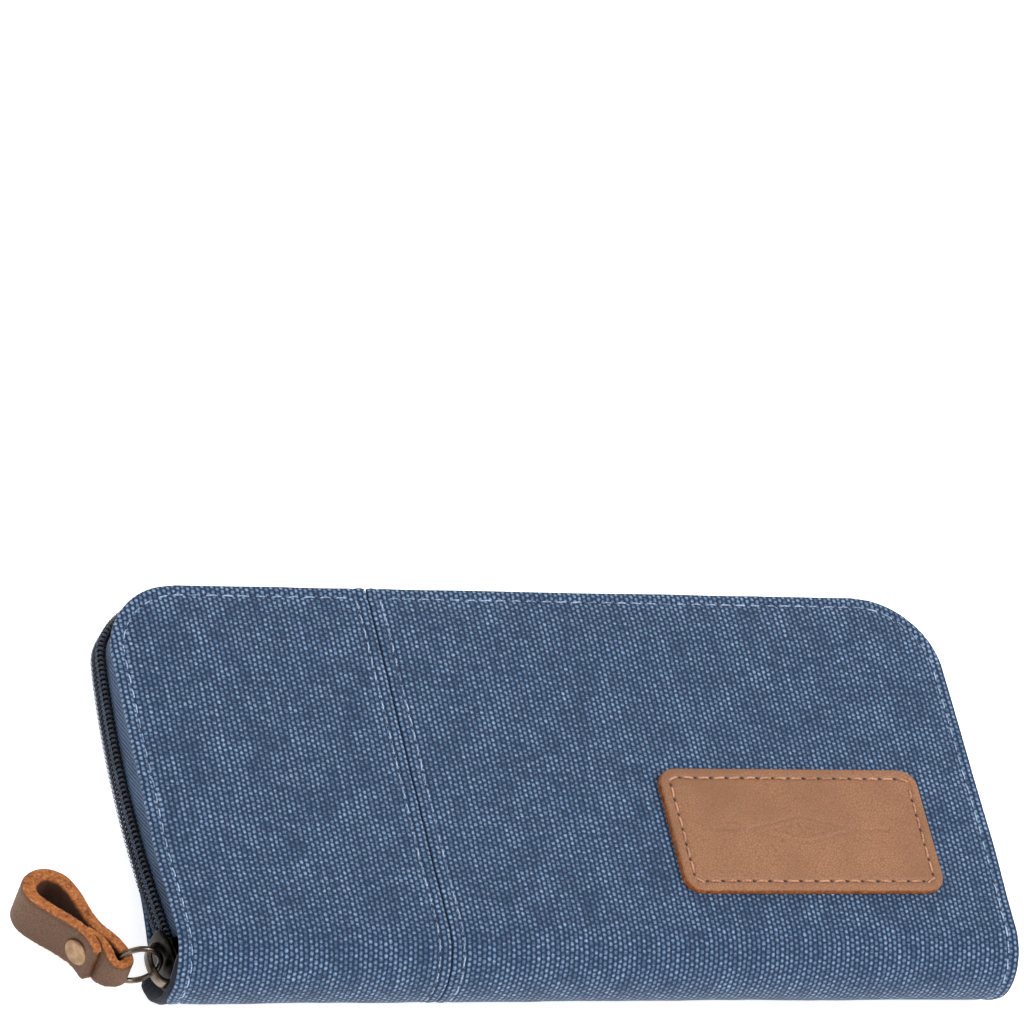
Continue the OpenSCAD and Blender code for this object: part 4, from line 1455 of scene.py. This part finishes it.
def makePatch():
    low, high = boxMm("leather_patch")
    w, h = high[0] - low[0], high[1] - low[1]
    t = high[2] - low[2]
    cx, cy = (low[0] + high[0]) / 2, (low[1] + high[1]) / 2
    r = patch["r"]
    nx, ny = int(w / patch["grid"]) + 1, int(h / patch["grid"]) + 1
    gx, gy = np.meshgrid(np.linspace(-w / 2, w / 2, nx), np.linspace(-h / 2, h / 2, ny))
    # Pull the grid's corners in to the rounded outline.
    reach = roundedReach(np.abs(gy) - (h / 2 - r), w / 2 - r, r)
    ease = np.clip((np.abs(gx) - (w / 2 - 2 * r)) / (2 * r), 0, 1)
    px = np.sign(gx) * (np.abs(gx) - (w / 2 - reach) * ease)
    depth = np.maximum(roundedDepth(px, np.abs(gy), w / 2, h / 2, r), 0)
    rise = t - 0.22 * np.clip(1 - depth / 0.4, 0, 1) ** 2
    rise -= 0.3 * bell(depth, patch["inset"], 0.42) - 0.08 * bell(depth, 1.2, 0.6)
    lozenge = np.abs(px) / 13 + np.abs(gy) / 3.4
    press = bell(lozenge, 1.0, 0.1) + (lozenge < 0.62)
    bar = (np.abs(gy) < 0.35) & (np.abs(px) > 15.2) & (np.abs(px) < 21)
    rise -= patch["press"] * np.clip(press + bar, 0, 1)
    rise += 0.05 * lumpy(px, gy, 3.2, 6.1)
    top = np.stack([px + cx, gy + cy, low[2] + rise], -1).reshape(-1, 3)
    rim = gridRim(ny, nx)
    edge = top[rim]
    gather = Gather()
    gather.add(top, gridFaces(ny, nx), None, cut=(depth < 0.12).astype(float).ravel() * 0.55)
    last = rim
    for share in (0.72, 0.45, 0.2, -0.05):
        ring = edge.copy()
        ring[:, 2] = low[2] + t * share * 0.8
        for p in ring:
            rough = 0.05 + 0.1 * ripple(p[0], p[1], p[2], 0.5, 2.0)
            p[:2] += unit(p[:2] - np.array([cx, cy])) * rough
        here = len(gather.points) + np.arange(len(rim))
        gather.add(ring, [], None, cut=np.ones(len(ring)))
        gather.wall(last, here)
        last = here
    gather.faces.append(tuple(last))
    fit(gather.shell("leatherPatch", "patch"), "front_half", "patch_leather", "leather_patch")
    sewPatch(w, h, cx, cy, high[2] - stitches["sink"])


def sewPatch(w, h, cx, cy, level):
    inset = patch["inset"]
    r = patch["r"] - inset
    a, b = w / 2 - inset, h / 2 - inset
    border = []
    for sx, sy, start in ((1, 1, 0), (-1, 1, 0.5), (-1, -1, 1), (1, -1, 1.5)):
        for u in np.linspace(0, math.pi / 2, 8) + start * math.pi:
            border.append((cx + sx * (a - r) + r * math.cos(u),
                           cy + sy * (b - r) + r * math.sin(u), level))
    border = np.array(border + border[:1])
    up = np.tile((0.0, 0.0, 1.0), (len(border), 1))
    sew, holeShades = Gather(), Gather()
    stitchRow(sew, border, up, patch["pitch"], patch["length"], patch["thread"], 900)
    needleHoleShades(holeShades, border, up, patch["pitch"], patch["holeShade"], patch["holeLift"])
    # Painted shade: dark discs at the needle holes round the patch.
    fit(holeShades.piece("patchNeedleHoleShades", "holeShade"), "front_half", "patch_leather")
    fit(sew.piece("patchStitching", "patchThread"), "front_half", "patch_thread",
        "patch_stitching")


makePatch()
print("patch made")


def makeFloor():
    shade = Shade("floor", Roughness=0.9, Specular_IOR_Level=0.1, Emission_Strength=0.6,
                  Emission_Color=(1, 1, 1, 1))
    speck = shade.noise(shade.place(), 40.0, 2.0)
    finish = shade.finish(shade.mix(speck, (250, 250, 250), (253, 253, 253)))
    mesh = bpy.data.meshes.new("floor")
    mesh.from_pydata([(-4, -4, 0), (4, -4, 0), (4, 4, 0), (-4, 4, 0)], [], [(0, 1, 2, 3)])
    mesh.materials.append(finish)
    floor = bpy.data.objects.new("floor", mesh)
    bpy.context.scene.collection.objects.link(floor)


makeFloor()
